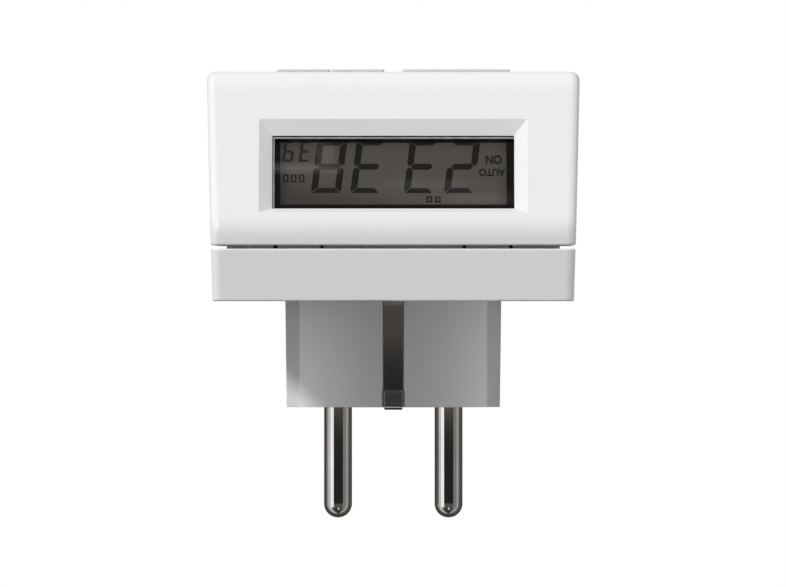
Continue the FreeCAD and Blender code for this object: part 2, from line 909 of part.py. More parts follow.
def make_contact_carrier():
    plate = rod(carrier_radius, floor_level, carrier_top())
    post = box(*spring_post(), floor_level, spring_levels()[1])
    body = joined(plate, post)
    cut = carrier_cut_clearance
    cutters = []
    half = contact_base_half_width + cut
    z0 = floor_level - past
    z1 = carrier_top() + past
    x1 = pin_x + leaf_half_width + cut
    x0 = pin_x - leaf_half_width - cut
    leaf_y = leaf_root + leaf_thickness / 2 + cut
    cutters.append(box(x0, x1, -leaf_y, leaf_y, z0, z1))
    cutters.append(rod(entry_radius, z0, z1, -pin_x, 0))
    thick = strip_thickness / 2 + cut
    for side in (-1, 1):
        tail_x0, tail_x1 = sided(side, pin_x + tail_offset, pin_x + tail_offset - tail_width)
        riser = -feed_riser
        cutters.append(box(tail_x0 - cut, tail_x1 + cut, riser - thick, riser + thick, z0, z1))
    for side in (-1, 1):
        y0, y1 = sided(side, earth_line() - earth_thickness / 2 - cut, carrier_radius + past)
        cutters.append(box(-earth_width / 2 - cut, earth_width / 2 + cut, y0, y1, z0, z1))
    spring = shutter_spring_box()
    cutters.append(box(spring[0], spring[1], spring[2] - past, spring[3], spring[4], spring[5] + past))
    return body.cut(cutters)


def peg_centre():
    angle = math.radians(peg_angle)
    return peg_distance * math.cos(angle), peg_distance * math.sin(angle)


def make_shutter():
    top, bottom = shutter_top, shutter_bottom
    hub = rod(shutter_hub_radius, bottom, top)
    lobes = []
    for side in (-1, 1):
        outline = []
        centre = 0.0 if side > 0 else math.pi
        half = math.radians(shutter_lobe_angle)
        start = V(0, 0, bottom)
        first = V(math.cos(centre - half), math.sin(centre - half), 0) * shutter_lobe_radius
        middle = V(math.cos(centre), math.sin(centre), 0) * shutter_lobe_radius
        last = V(math.cos(centre + half), math.sin(centre + half), 0) * shutter_lobe_radius
        lift = V(0, 0, bottom)
        outline.append(Part.makeLine(start, first + lift))
        outline.append(Part.Arc(first + lift, middle + lift, last + lift).toShape())
        outline.append(Part.makeLine(last + lift, start))
        lobes.append(Part.Face(Part.Wire(outline)).extrude(V(0, 0, shutter_thickness)))
    x, y = peg_centre()
    peg = rod(peg_radius, bottom - peg_length, bottom + overlap, x, y)
    body = joined(hub, *lobes, peg)
    ramps = []
    for turn in (0, 180):
        upper = top + overlap
        slope = [(-ramp_width, upper), (overlap, upper), (-ramp_width, bottom + ramp_lip)]
        wedge = polygon_along_x(slope, ramp_start, shutter_lobe_radius + past)
        wedge.rotate(V(0, 0, 0), V(0, 0, 1), turn)
        ramps.append(wedge)
    bore = rod(pivot_radius + running_clearance, bottom - past, top + past)
    return body.cut([bore] + ramps)


def make_shutter_clip():
    ring = rod(clip_radius, clip_top - clip_thickness, clip_top)
    return ring.cut(rod(pivot_radius, clip_top - clip_thickness - past, clip_top + past))


def spring_levels():
    top = shutter_bottom - spring_drop
    return top - spring_height, top


def shutter_spring_box():
    """Leaf that rests beside the shutter's peg, as box edges."""
    x, y = peg_centre()
    x1 = x - peg_radius - spring_peg_gap
    z0, z1 = spring_levels()
    return x1 - spring_thickness, x1, y - peg_radius, spring_reach, z0, z1


def spring_post():
    """Footprint of the post that holds the shutter's leaf spring."""
    spring = shutter_spring_box()
    left, right = spring_post_walls
    return spring[0] - left, spring[1] + right, spring_reach - spring_seat, spring_reach + right


def make_display_window():
    return on_slope(
        box(
            -glass_half_width,
            glass_half_width,
            -glass_half_height,
            glass_half_height,
            window_back,
            window_face,
        )
    )


def make_display_panel():
    half_w = glass_half_width
    half_h = glass_half_height
    middle = panel_front - panel_thickness / 2
    front = box(-half_w, half_w, -half_h + panel_ledge, half_h - panel_ledge, middle, panel_front)
    back = box(-half_w, half_w, -half_h, half_h, panel_back, middle)
    return on_slope(joined(front, back))


def make_display_holder():
    inner_w = holder_room_half
    inner_h = glass_half_height + holder_clearance
    outer_w = holder_half_width
    outer_h = inner_h + holder_wall
    frame = box(-outer_w, outer_w, -outer_h, outer_h, display_board_front, window_face)
    room = box(-inner_w, inner_w, -inner_h, inner_h, panel_back, window_face + past)
    slot_h = glass_half_height + strip_clearance
    strip_x = strip_length / 2 + strip_clearance
    strip_room = box(-strip_x, strip_x, -slot_h, slot_h, display_board_front - past, panel_back + past)
    rib_h = slot_h - strip_width - 2 * strip_clearance
    ribs = []
    for side in (-1, 1):
        y0, y1 = sided(side, rib_h - holder_rib, rib_h)
        ribs.append(box(-outer_w + overlap, outer_w - overlap, y0, y1, display_board_front, panel_back))
    return on_slope(joined(frame.cut([room, strip_room]), *ribs))


def make_contact_strips():
    half = strip_length / 2
    outer = glass_half_height
    strips = []
    for side in (-1, 1):
        y0, y1 = sided(side, outer, outer - strip_width)
        strips.append(on_slope(box(-half, half, y0, y1, display_board_front, panel_back)))
    return strips


def make_display_board():
    w = display_board_half_width
    h = display_board_half_height
    foot = lip_inner_half - board_foot_gap
    upper = box(-w, w, display_board_ear, h, display_board_back, display_board_front)
    lower = box(-foot, foot, -h, display_board_ear, display_board_back, display_board_front)
    board = joined(upper, lower)
    holes = []
    for x in (-display_post_x, display_post_x):
        for s in display_post_rows:
            holes.append(
                Part.makeCylinder(small_shank + hole_clearance, 4, V(x, s, display_board_back - past))
            )
    return on_slope(board.cut(holes))


def make_display_screws():
    screws = []
    for x in (-display_post_x, display_post_x):
        for s in display_post_rows:
            back = display_board_back
            head = Part.makeCylinder(small_head_radius, small_head, V(x, s, back - small_head))
            length = small_grip + display_board_thickness - screw_end_gap
            shank = Part.makeCylinder(small_shank, length + overlap, V(x, s, back - overlap))
            screws.append(on_slope(joined(head, shank)))
    return screws


def make_display_chip():
    ball = (chip_radius ** 2 + chip_rise ** 2) / (2 * chip_rise)
    dome = Part.makeSphere(ball, V(0, 0, display_board_back - chip_rise + ball))
    keep = box(-ball, ball, -ball, ball, display_board_back - ball, display_board_back)
    return on_slope(dome.common(keep))


def make_display_crystal():
    z = display_board_back - crystal_radius
    return on_slope(rod_along_x(crystal_radius, *crystal_span, crystal_row, z))


def make_ribbon_cable():
    """Flat cable from the display board's back to the key board's underside."""
    y, z = slope_origin()

    def point(s, d):
        return y + s * slope_sin - d * slope_cos, z + s * slope_cos + d * slope_sin

    start = point(ribbon_start, display_board_back)
    bend = point(ribbon_start, display_board_back - ribbon_stand)
    land_y = key_board_start + ribbon_inset
    path = [start, bend, (land_y, key_board_bottom - ribbon_stand), (land_y, key_board_bottom)]
    return bent_strip(path, ribbon_thickness, *ribbon_span)


def make_key_board():
    half = key_board_half_width
    board = box(-half, half, key_board_start, key_board_end, key_board_bottom, key_board_top)
    holes = []
    for x in (-key_post_x, key_post_x):
        for y in key_post_rows:
            hole = small_shank + hole_clearance
            holes.append(rod(hole, key_board_bottom - past, key_board_top + past, x, y))
    return board.cut(holes)


def make_key_board_screws():
    screws = []
    for x in (-key_post_x, key_post_x):
        for y in key_post_rows:
            head = rod(small_head_radius, key_board_bottom - small_head, key_board_bottom, x, y)
            tip = key_board_top + small_grip - screw_end_gap
            shank = rod(small_shank, key_board_bottom - overlap, tip, x, y)
            screws.append(joined(head, shank))
    return screws


def switch_centres():
    """Centre of the switch under each key, and under the reset button."""
    centres = []
    for row in (display_row, socket_row):
        for x0, x1 in key_spans():
            centres.append(((x0 + x1) / 2, row))
    return centres


def make_switch_body(x, y, size):
    half = size / 2
    body = rounded_box(
        x - half, x + half, y - half, y + half, key_board_top, switch_top, switch_corner_radius
    )
    return body.cut(rod(switch_bore, switch_top - switch_bore_depth, switch_top + past, x, y))


def make_reset_switch():
    half = reset_switch_size / 2
    tube = rounded_box(
        -half, half, reset_y - half, reset_y + half, key_board_top, switch_top, switch_corner_radius
    )
    bottom = switch_top - switch_bore_depth
    return tube.cut(rod(reset_switch_bore, bottom, switch_top + past, 0, reset_y))


def make_plunger(x, y, radius):
    return rod(radius, switch_top - plunger_depth, plunger_top, x, y)


def make_key(x0, x1, row):
    y0 = row - key_depth / 2
    y1 = row + key_depth / 2
    top = front_top + key_stand
    cap = rounded_box(x0, x1, y0, y1, key_flange_bottom, top, key_corner_radius)
    upper = [edge for edge in cap.Edges if edge.BoundBox.ZMin > top - 1e-6]
    cap = cap.makeFillet(key_edge_radius, upper)
    flange = box(x0, x1, y0 - key_flange, y1 + key_flange, key_flange_bottom, key_flange_top)
    stem = rod(key_stem_radius, plunger_top, key_flange_bottom + overlap, (x0 + x1) / 2, row)
    return joined(cap, flange, stem)


def make_reset_button():
    top = front_top - reset_recess
    pin = rod(reset_radius, key_flange_bottom, top, 0, reset_y)
    flange = rod(reset_radius + reset_flange, key_flange_bottom, key_flange_top, 0, reset_y)
    stem = rod(reset_plunger_radius, plunger_top, key_flange_bottom + overlap, 0, reset_y)
    return joined(pin, flange, stem)


def make_power_board():
    half = power_board_half_width
    board = box(-half, half, power_board_start, power_board_end, power_board_height, power_board_top)
    holes = []
    for x in (-power_post_x, power_post_x):
        for y in power_post_rows:
            hole = small_shank + hole_clearance
            holes.append(rod(hole, power_board_height - past, power_board_top + past, x, y))
    return board.cut(holes)


def make_power_board_screws():
    screws = []
    for x in (-power_post_x, power_post_x):
        for y in power_post_rows:
            head = rod(small_head_radius, power_board_top, power_board_top + small_head, x, y)
            tip = power_board_height - small_grip + screw_end_gap
            shank = rod(small_shank, tip, power_board_top + overlap, x, y)
            screws.append(joined(head, shank))
    return screws


def make_cover_screws():
    screws = []
    for x in (-cover_post_x, cover_post_x):
        seat = screw_seat()
        head = rod(cover_head_radius, seat - cover_head, seat, x, cover_post_y)
        y = cover_post_y
        wide = drive_half_length
        thin = drive_half_width
        face = seat - cover_head
        drive = box(x - wide, x + wide, y - thin, y + thin, face - past, face + drive_depth)
        cross = box(x - thin, x + thin, y - wide, y + wide, face - past, face + drive_depth)
        shank = rod(cover_shank, seat - overlap, front_bottom + cover_grip - overlap, x, y)
        screws.append(joined(head, shank).cut([drive, cross]))
    return screws


def relay_level(height):
    return power_board_top + height


def relay_middle():
    return (relay_y[0] + relay_y[1]) / 2


def make_relay_base():
    return box(*relay_x, *relay_y, power_board_top, relay_level(relay_base_height))


def make_relay_cover():
    x0, x1 = relay_x
    y0, y1 = relay_y
    w = relay_wall
    foot = relay_level(relay_base_height)
    top = relay_level(relay_height)
    outer = rounded_box(x0, x1, y0, y1, foot, top, w)
    return outer.cut(box(x0 + w, x1 - w, y0 + w, y1 - w, foot - past, top - w))


def closing_drop(reach):
    """How far a point of the armature comes down when it closes."""
    return reach * math.sin(math.radians(relay_stroke))


def core_top():
    """Level of the pole face, just under the closed armature."""
    drop = closing_drop(coil_from_hinge + pole_radius)
    return relay_level(relay_hinge_height) - drop - contact_gap


def coil_foot():
    return relay_level(relay_base_height) + yoke_thickness


def make_relay_yoke():
    y0 = relay_middle() - yoke_half_width
    y1 = relay_middle() + yoke_half_width
    base = relay_level(relay_base_height)
    x0 = relay_hinge_x - yoke_thickness / 2
    x1 = x0 + yoke_thickness
    foot = box(relay_coil_x - yoke_half_width, x1, y0, y1, base, coil_foot())
    back = box(x0, x1, y0, y1, base, relay_level(relay_hinge_height) - relay_hinge_gap)
    return joined(foot, back)


def make_relay_core():
    y = relay_middle()
    under_pole = core_top() - pole_thickness
    stem = rod(core_radius, coil_foot(), under_pole + overlap, relay_coil_x, y)
    pole = rod(pole_radius, under_pole, core_top(), relay_coil_x, y)
    return joined(stem, pole)


def bobbin_top():
    return core_top() - pole_thickness - contact_gap


def make_relay_bobbin():
    y = relay_middle()
    base = coil_foot()
    top = bobbin_top()
    tube = rod(core_radius + bobbin_wall, base, top, relay_coil_x, y)
    low = rod(flange_radius, base, base + bobbin_flange, relay_coil_x, y)
    high = rod(flange_radius, top - bobbin_flange, top, relay_coil_x, y)
    return joined(tube, low, high).cut(rod(core_radius, base - past, top + past, relay_coil_x, y))


def make_relay_winding():
    y = relay_middle()
    base = coil_foot() + bobbin_flange
    top = bobbin_top() - bobbin_flange
    bore = rod(core_radius + bobbin_wall, base - past, top + past, relay_coil_x, y)
    return rod(winding_radius, base, top, relay_coil_x, y).cut(bore)


def make_relay_armature():
    y = relay_middle()
    z0 = relay_level(relay_hinge_height)
    x0 = relay_hinge_x - armature_length
    x1 = relay_hinge_x + armature_heel
    half = armature_half_width
    return box(x0, x1, y - half, y + half, z0, z0 + armature_thickness)


def blade_bottom():
    return relay_level(relay_hinge_height) + armature_thickness


def make_relay_blade():
    y = relay_middle()
    z0 = blade_bottom()
    half = blade_half_width
    x0 = relay_x[0] + relay_wall + blade_end_gap
    blade = box(x0, x0 + blade_length, y - half, y + half, z0, z0 + blade_thickness)
    button = rod(contact_radius, z0 - contact_height, z0 + blade_thickness / 2, contact_x, y)
    return joined(blade, button)


def make_relay_fixed_contact():
    y = relay_middle()
    drop = closing_drop(relay_hinge_x - contact_x + contact_radius)
    top = blade_bottom() - contact_height - drop - contact_gap
    half = blade_half_width
    thin = strip_thickness / 2
    base = relay_level(relay_base_height)
    post = box(contact_x - thin, contact_x + thin, y - half, y + half, base, top - contact_height / 2)
    button = rod(contact_radius, top - contact_height, top, contact_x, y)
    return joined(post, button)


def tall_parts():
    """Left edges of the film capacitor, the varistor and the electrolytic capacitor."""
    film = relay_x[1] + film_capacitor_gap
    varistor = film + film_capacitor_size[0] + part_gap
    return film, varistor, varistor + varistor_thickness + part_gap


def make_film_capacitor():
    width, length, height = film_capacitor_size
    x0 = tall_parts()[0]
    y1 = power_board_end - tall_parts_inset
    top = power_board_top + height
    return rounded_box(x0, x0 + width, y1 - length, y1, power_board_top, top, relay_wall)


def make_varistor():
    x0 = tall_parts()[1]
    y = power_board_end - tall_parts_inset - varistor_radius
    centre = power_board_top + varistor_radius + varistor_stand
    disc = rod_along_x(varistor_radius, x0, x0 + varistor_thickness, y, centre)
    legs = [
        rod(lead_radius, power_board_top, centre, x0 + varistor_thickness / 2, y + side)
        for side in (-varistor_leg_spread, varistor_leg_spread)
    ]
    return joined(disc, *legs)


def make_electrolytic():
    x = tall_parts()[2] + electrolytic_radius
    y = power_board_end - tall_parts_inset - electrolytic_radius
    base = power_board_top
    can = rod(electrolytic_radius, base, base + electrolytic_height, x, y)
    groove = rod(electrolytic_radius + past, base + sleeve_groove[0], base + sleeve_groove[1], x, y)
    neck = rod(electrolytic_radius - sleeve_groove_depth, base, base + electrolytic_height, x, y)
    return can.cut(groove.cut(neck))


def cell_centre():
    x = power_board_half_width - cell_side_inset - cell_radius
    return x, power_board_start + cell_display_inset + cell_radius


def make_backup_cell():
    x, y = cell_centre()
    z0 = power_board_top + cell_stand + cell_tab
    can = rod(cell_radius, z0, z0 + cell_height, x, y)
    rims = [edge for edge in can.Edges if edge.BoundBox.ZLength < 1e-6]
    return can.makeFillet(cell_rim_radius, rims)


def make_cell_tabs():
    """Two strips welded to the cell, with their feet on the board."""
    x, y = cell_centre()
    x0 = x - cell_tab_width / 2
    x1 = x + cell_tab_width / 2
    z0 = power_board_top + cell_stand
    top = z0 + cell_tab + cell_height
    y0 = y - cell_tab_reach
    low = box(x0, x1, y0, y + cell_tab_reach, z0, z0 + cell_tab)
    foot = box(x0, x1, y0, y0 + cell_tab, power_board_top, z0 + cell_tab)
    y1 = y + cell_radius + cell_tab_gap
    high = box(x0, x1, y, y1 + cell_tab, top, top + cell_tab)
    leg = box(x0, x1, y1, y1 + cell_tab, power_board_top, top + cell_tab)
    return [joined(low, foot), joined(high, leg)]


def axial_part(radius, length, x, y):
    """Round part with two bent wire leads, lying along Y."""
    z = power_board_top + radius + lead_radius
    half = length / 2
    body = rod_along_y(radius, y - half, y + half, x, z)
    lead = rod_along_y(lead_radius, y - half - lead_bend, y + half + lead_bend, x, z)
    legs = [
        rod(leg_radius, power_board_top, z, x, y + side * (half + lead_bend - lead_radius))
        for side in (-1, 1)
    ]
    return joined(body, lead, *legs)


def make_diodes():
    x = -power_board_half_width + diode_side_inset
    y = power_board_start + diode_display_inset
    return [
        axial_part(diode_radius, diode_length, x + index * diode_pitch, y)
        for index in range(diode_count)
    ]


def make_resistors():
    first = -power_board_half_width + diode_side_inset + diode_count * diode_pitch + part_gap
    y = power_board_start + diode_display_inset
    return [
        axial_part(resistor_radius, resistor_length, first + index * resistor_pitch, y)
        for index in range(resistor_count)
    ]


def save(name, shapes):
    """Writes one node, from one shape or a list of separate solids."""
    parts = shapes if isinstance(shapes, list) else [shapes]
    solids = [solid for part in parts for solid in part.Solids]
    if len(solids) != len(parts) or not all(s.isValid() for s in solids):
        raise RuntimeError(f"{name}: {len(solids)} solids from {len(parts)} parts")
    result = solids[0] if len(solids) == 1 else Part.makeCompound(solids)
    result.exportStep(os.path.join("parts", f"{name}.step"))
    print(name, len(solids), round(sum(s.Volume for s in solids), 2))


def main():
    os.makedirs("parts", exist_ok=True)
    save("front_cover", make_front_cover())
    save("rear_cover", make_rear_cover())
    save("cover_screws", make_cover_screws())

    save("display_window", make_display_window())
    save("display_panel", make_display_panel())
    save("display_holder", make_display_holder())
    save("contact_strips", make_contact_strips())
    save("display_board", make_display_board())
    save("display_screws", make_display_screws())
    save("display_chip", make_display_chip())
    save("display_crystal", make_display_crystal())
    save("ribbon_cable", make_ribbon_cable())

    save("key_board", make_key_board())
    save("key_board_screws", make_key_board_screws())
    centres = switch_centres()
    switches = [make_switch_body(x, y, switch_size) for x, y in centres]
    save("switch_bodies", switches + [make_reset_switch()])
    names = ["week", "clock", "manual", "hour", "minute", "timer"]
    spans = [(x0, x1, row) for row in (display_row, socket_row) for x0, x1 in key_spans()]
    for name, (x0, x1, row), (x, y) in zip(names, spans, centres):
        save(f"{name}_key", make_key(x0, x1, row))
        save(f"{name}_plunger", make_plunger(x, y, plunger_radius))
    save("reset_button", make_reset_button())
    save("reset_plunger", make_plunger(0, reset_y, reset_plunger_radius))

    save("power_board", make_power_board())
    save("power_board_screws", make_power_board_screws())
    save("relay_base", make_relay_base())
    save("relay_cover", make_relay_cover())
    save("relay_yoke", make_relay_yoke())
    save("relay_core", make_relay_core())
    save("relay_bobbin", make_relay_bobbin())
    save("relay_winding", make_relay_winding())
    save("relay_fixed_contact", make_relay_fixed_contact())
    save("relay_armature", make_relay_armature())
    save("relay_blade", make_relay_blade())
    save("film_capacitor", make_film_capacitor())
    save("electrolytic_capacitor", make_electrolytic())
    save("varistor", make_varistor())
    save("backup_cell", make_backup_cell())
    save("cell_tabs", make_cell_tabs())
    save("rectifier_diodes", make_diodes())
    save("resistors", make_resistors())

    save("plug_pin_live", make_plug_pin(-1))
    save("plug_pin_neutral", make_plug_pin(1))
    save("neutral_contact", make_neutral_contact())
    save("live_feed_strip", make_live_feed_strip())
    save("live_socket_contact", make_live_socket_contact())
    save("earth_strip_display_end", make_earth_strip(-1))
    save("earth_strip_lower_end", make_earth_strip(1))
    save("earth_bridge", make_earth_bridge())
    save("contact_carrier", make_contact_carrier())
    save("shutter", make_shutter())
    save("shutter_clip", make_shutter_clip())
    save("shutter_spring", box(*shutter_spring_box()))


main()
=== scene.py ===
"""Finishes, display and small parts for a digital plug-in timer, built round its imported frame."""

import json
import math

import bmesh
import bpy
from bpy.props import FloatProperty, FloatVectorProperty, IntProperty, PointerProperty, StringProperty
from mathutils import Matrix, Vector


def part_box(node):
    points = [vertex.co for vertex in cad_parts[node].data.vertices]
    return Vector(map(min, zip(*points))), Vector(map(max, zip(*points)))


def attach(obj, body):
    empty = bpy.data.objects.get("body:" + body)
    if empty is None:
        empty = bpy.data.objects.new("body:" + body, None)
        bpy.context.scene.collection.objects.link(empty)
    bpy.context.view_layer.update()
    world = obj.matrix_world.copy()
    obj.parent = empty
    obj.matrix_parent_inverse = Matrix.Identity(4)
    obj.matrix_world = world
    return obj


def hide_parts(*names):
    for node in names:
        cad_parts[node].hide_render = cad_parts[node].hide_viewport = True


bl_info = {
    "name": "Plug-in timer",
    "version": (1, 0, 0),
    "blender": (4, 5, 0),
    "location": "View3D > Sidebar > Plug-in timer",
    "description": "Finishes, display and small parts of a digital plug-in timer",
    "category": "Object",
}

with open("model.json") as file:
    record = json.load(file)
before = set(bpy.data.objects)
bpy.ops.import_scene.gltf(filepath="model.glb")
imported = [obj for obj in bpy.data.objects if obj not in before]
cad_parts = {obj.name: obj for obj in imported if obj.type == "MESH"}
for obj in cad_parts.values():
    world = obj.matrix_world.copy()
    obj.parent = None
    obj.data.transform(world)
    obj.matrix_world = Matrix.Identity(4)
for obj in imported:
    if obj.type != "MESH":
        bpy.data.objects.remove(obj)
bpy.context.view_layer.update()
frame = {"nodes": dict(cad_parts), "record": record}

MM = 0.001
TILT = math.radians(39.0)
ACROSS = Vector((1, 0, 0))
UP_SLOPE = Vector((0, math.sin(TILT), math.cos(TILT)))
OUT_OF_SLOPE = Vector((0, -math.cos(TILT), math.sin(TILT)))
PHOTO_WIDTH_PIXELS = 786
PIXELS_PER_MM = 5.869
LAYOUT_SHIFT = 0.27
INK_LEVEL = 0.01
INK_THICKNESS = 0.02
CARD_REACH = 0.5
CARD_LEVEL = 0.35
SCREW_SIZES = ("Head radius", "Head height", "Shank radius", "Shank length", "Pitch")


def colour_setting(name, description, default):
    """Colour that a user may change."""
    return FloatVectorProperty(
        name=name, description=description, default=default, subtype="COLOR", size=3, min=0.0, max=1.0
    )


def length_setting(name, description, default, **options):
    """Length in metres that a user may change."""
    return FloatProperty(
        name=name, description=description, default=default, subtype="DISTANCE", unit="LENGTH", **options
    )


def number_setting(name, description, default, **options):
    """Plain number that a user may change, not under zero."""
    return FloatProperty(name=name, description=description, default=default, min=0.0, **options)


class CasingSettings(bpy.types.PropertyGroup):
    """Colour and surface of the white mouldings."""

    colour: colour_setting("Colour", "Colour of the casing's plastic", (0.86, 0.86, 0.865))
    # painted shade: the key caps are the casing's white plastic, darkened to stand in for the shade on
    # their faces
    shaded_key_colour: colour_setting("Key colour", "Colour of the key caps", (0.63, 0.63, 0.63))
    roughness: number_setting("Roughness", "Roughness of the plastic", 0.46, max=1.0)
    grain: length_setting("Grain depth", "Depth of the mould's fine grain", 4e-06, min=0.0, precision=7)
    edge_radius: length_setting(
        "Edge radius", "Radius that softens the shading of moulded edges", 0.00022, min=0.0, precision=5
    )


class DisplaySettings(bpy.types.PropertyGroup):
    """Layout and colours of the display."""

    hours: StringProperty(name="Hours", description="Left pair of large digits", default="23")
    minutes: StringProperty(name="Minutes", description="Right pair of large digits", default="38")
    seconds: StringProperty(name="Seconds", description="Pair of small digits", default="39")
    digit_height: length_setting(
        "Digit height", "Height of a large digit on the glass", 0.0115, min=0.001, precision=5
    )
    stroke: length_setting("Stroke", "Width of a large digit's segments", 0.0011, min=0.0001, precision=5)
    slant: FloatProperty(
        name="Slant", description="Lean of the digits", default=math.radians(5.6), subtype="ANGLE"
    )
    glass_colour: colour_setting(
        "Glass colour", "Colour of the display behind the digits", (0.094, 0.084, 0.076)
    )
    ink_colour: colour_setting("Segment colour", "Colour of a segment that is on", (0.009, 0.009, 0.009))
    faint_colour: colour_setting(
        "Faint segment colour", "Colour of a small segment that is on", (0.021, 0.02, 0.019)
    )


class MetalSettings(bpy.types.PropertyGroup):
    """Colours of the metal parts and the fineness of their shapes."""

    pin_colour: colour_setting("Pin colour", "Colour of the pins' nickel plating", (0.86, 0.845, 0.825))
    earth_colour: colour_setting("Earth strip colour", "Colour of the earth strips", (0.55, 0.535, 0.52))
    thread_pitch: length_setting(
        "Thread pitch", "Pitch of the small screws' threads", 0.0007, min=0.0001, precision=5
    )
    coil_turns: IntProperty(
        name="Coil turns", description="Turns in each layer of the relay's winding", default=26, min=1
    )


class StudioSettings(bpy.types.PropertyGroup):
    """Light, floor and camera."""

    left: number_setting("Left light", "Soft light from the left", 0.81)
    right: number_setting("Right light", "Soft light from the right", 0.76)
    above: number_setting("Top light", "Soft light from above", 0.79)
    below: number_setting("Low light", "Soft light from below", 0.0)
    front: number_setting("Front light", "Soft light from the front", 0.13)
    back: number_setting("Back light", "Soft light from behind", 0.75)
    slant: number_setting("Slant", "Soft light moved to the upper left and the lower right", 0.24)
    key_strength: number_setting("Key light", "Strength of the key light", 1.75)
    floor_level: length_setting("Floor level", "Height of the floor", -0.055)
    lens: FloatProperty(name="Lens", description="Focal length in millimetres", default=1200.0, min=1.0)


SETTINGS = {
    "timer_casing": CasingSettings,
    "timer_display": DisplaySettings,
    "timer_metal": MetalSettings,
    "timer_studio": StudioSettings,
}


def feed(tree, node, inputs):
    """Feeds a node's inputs, each with a plain value or with another node's output."""
    for name, value in inputs.items():
        if isinstance(value, bpy.types.NodeSocket):
            tree.links.new(value, node.inputs[name])
        else:
            node.inputs[name].default_value = value


def add_node(tree, kind, inputs=None, **options):
    """Adds one node with its options and feeds its inputs."""
    made = tree.nodes.new(kind)
    for name, value in options.items():
        setattr(made, name, value)
    feed(tree, made, inputs or {})
    return made


def maths(tree, operation, first, second):
    """Result of one sum of two sockets or numbers."""
    return add_node(tree, "ShaderNodeMath", {0: first, 1: second}, operation=operation).outputs["Value"]


def split_axes(tree, points):
    """The X, Y and Z of a vector."""
    return add_node(tree, "ShaderNodeSeparateXYZ", {"Vector": points}).outputs


def new_finish(name, colour, roughness, metallic=0.0):
    """A node material with its Principled shader, as (material, tree, shader)."""
    material = bpy.data.materials.new(name)
    material.use_nodes = True
    tree = material.node_tree
    shader = tree.nodes["Principled BSDF"]
    shader.inputs["Base Color"].default_value = (*colour, 1.0)
    shader.inputs["Roughness"].default_value = roughness
    shader.inputs["Metallic"].default_value = metallic
    material.diffuse_color = (*colour, 1.0)
    return material, tree, shader


def object_points(tree, stretch=(1.0, 1.0, 1.0)):
    """Object coordinates, stretched."""
    place = add_node(tree, "ShaderNodeTexCoord").outputs["Object"]
    return add_node(tree, "ShaderNodeMapping", {"Vector": place, "Scale": stretch}).outputs["Vector"]


def noise(tree, points, scale, detail=2.0):
    """Soft random pattern."""
    pattern = {"Vector": points, "Scale": scale, "Detail": detail}
    return add_node(tree, "ShaderNodeTexNoise", pattern).outputs["Fac"]


def colour_ramp(tree, factor, stops, interpolation="LINEAR"):
    """Colour that runs through several stops, each a (place, colour), as the factor rises."""
    ramp = add_node(tree, "ShaderNodeValToRGB", {"Fac": factor})
    ramp.color_ramp.interpolation = interpolation
    made = ramp.color_ramp.elements
    while len(made) < len(stops):
        made.new(0.5)
    for stop, (place, colour) in zip(made, stops):
        stop.position = place
        stop.color = (*colour, 1.0)
    return ramp.outputs["Color"]


def colour_between(tree, factor, first, second, low=0.3, high=0.7):
    """Colour that runs from one to another as the factor rises."""
    return colour_ramp(tree, factor, [(low, first), (high, second)])


def value_between(tree, factor, first, second, low=0.3, high=0.7):
    """Number that runs from one to another as the factor rises."""
    span = {"Value": factor, "From Min": low, "From Max": high, "To Min": first, "To Max": second}
    return add_node(tree, "ShaderNodeMapRange", span).outputs["Result"]


def raise_surface(tree, shader, height, depth, edge_radius=0.0):
    """Bump of a given depth in metres, over softened edges if a radius is given."""
    bump = add_node(tree, "ShaderNodeBump", {"Height": height, "Distance": depth, "Strength": 1.0})
    if edge_radius > 0.0:
        bevel = add_node(tree, "ShaderNodeBevel", {"Radius": edge_radius}, samples=6)
        feed(tree, bump, {"Normal": bevel.outputs["Normal"]})
    feed(tree, shader, {"Normal": bump.outputs["Normal"]})


def mix_surfaces(tree, share, first, second):
    """Surface that shows one shader, and another by its share."""
    both = {0: share, 1: first.outputs["BSDF"], 2: second.outputs["BSDF"]}
    mix = add_node(tree, "ShaderNodeMixShader", both)
    feed(tree, tree.nodes["Material Output"], {"Surface": mix.outputs["Shader"]})


def scaled(colour, factor):
    """A colour made darker or lighter by a factor."""
    return tuple(channel * factor for channel in colour)


def grey(tone):
    """A colour without a hue."""
    return (tone, tone, tone)


def moulded_plastic(name, colour, roughness, grain, edge_radius):
    """Moulded plastic with a fine grain, faint cloudiness and soft edges."""
    material, tree, shader = new_finish(name, colour, roughness)
    points = object_points(tree)
    cloud = noise(tree, points, 55.0, 4.0)
    patches = noise(tree, points, 400.0, 3.0)
    tone = colour_between(tree, cloud, scaled(colour, 0.985), colour)
    rough = value_between(tree, patches, roughness - 0.05, roughness + 0.05)
    feed(tree, shader, {"Base Color": tone, "Roughness": rough})
    raise_surface(tree, shader, noise(tree, points, 5200.0), grain, edge_radius)
    return material


def drawn_metal(name, colour, roughness, stretch, scratch=1.5e-06):
    """Metal with fine lines along one axis and faint stains."""
    material, tree, shader = new_finish(name, colour, roughness, 1.0)
    lines = noise(tree, object_points(tree, stretch), 1.0, 3.0)
    stains = noise(tree, object_points(tree), 160.0, 5.0)
    tone = colour_between(tree, stains, scaled(colour, 0.9), colour)
    rough = value_between(tree, stains, roughness * 1.35, roughness * 0.8)
    feed(tree, shader, {"Base Color": tone, "Roughness": rough})
    raise_surface(tree, shader, lines, scratch, 0.00006)
    return material


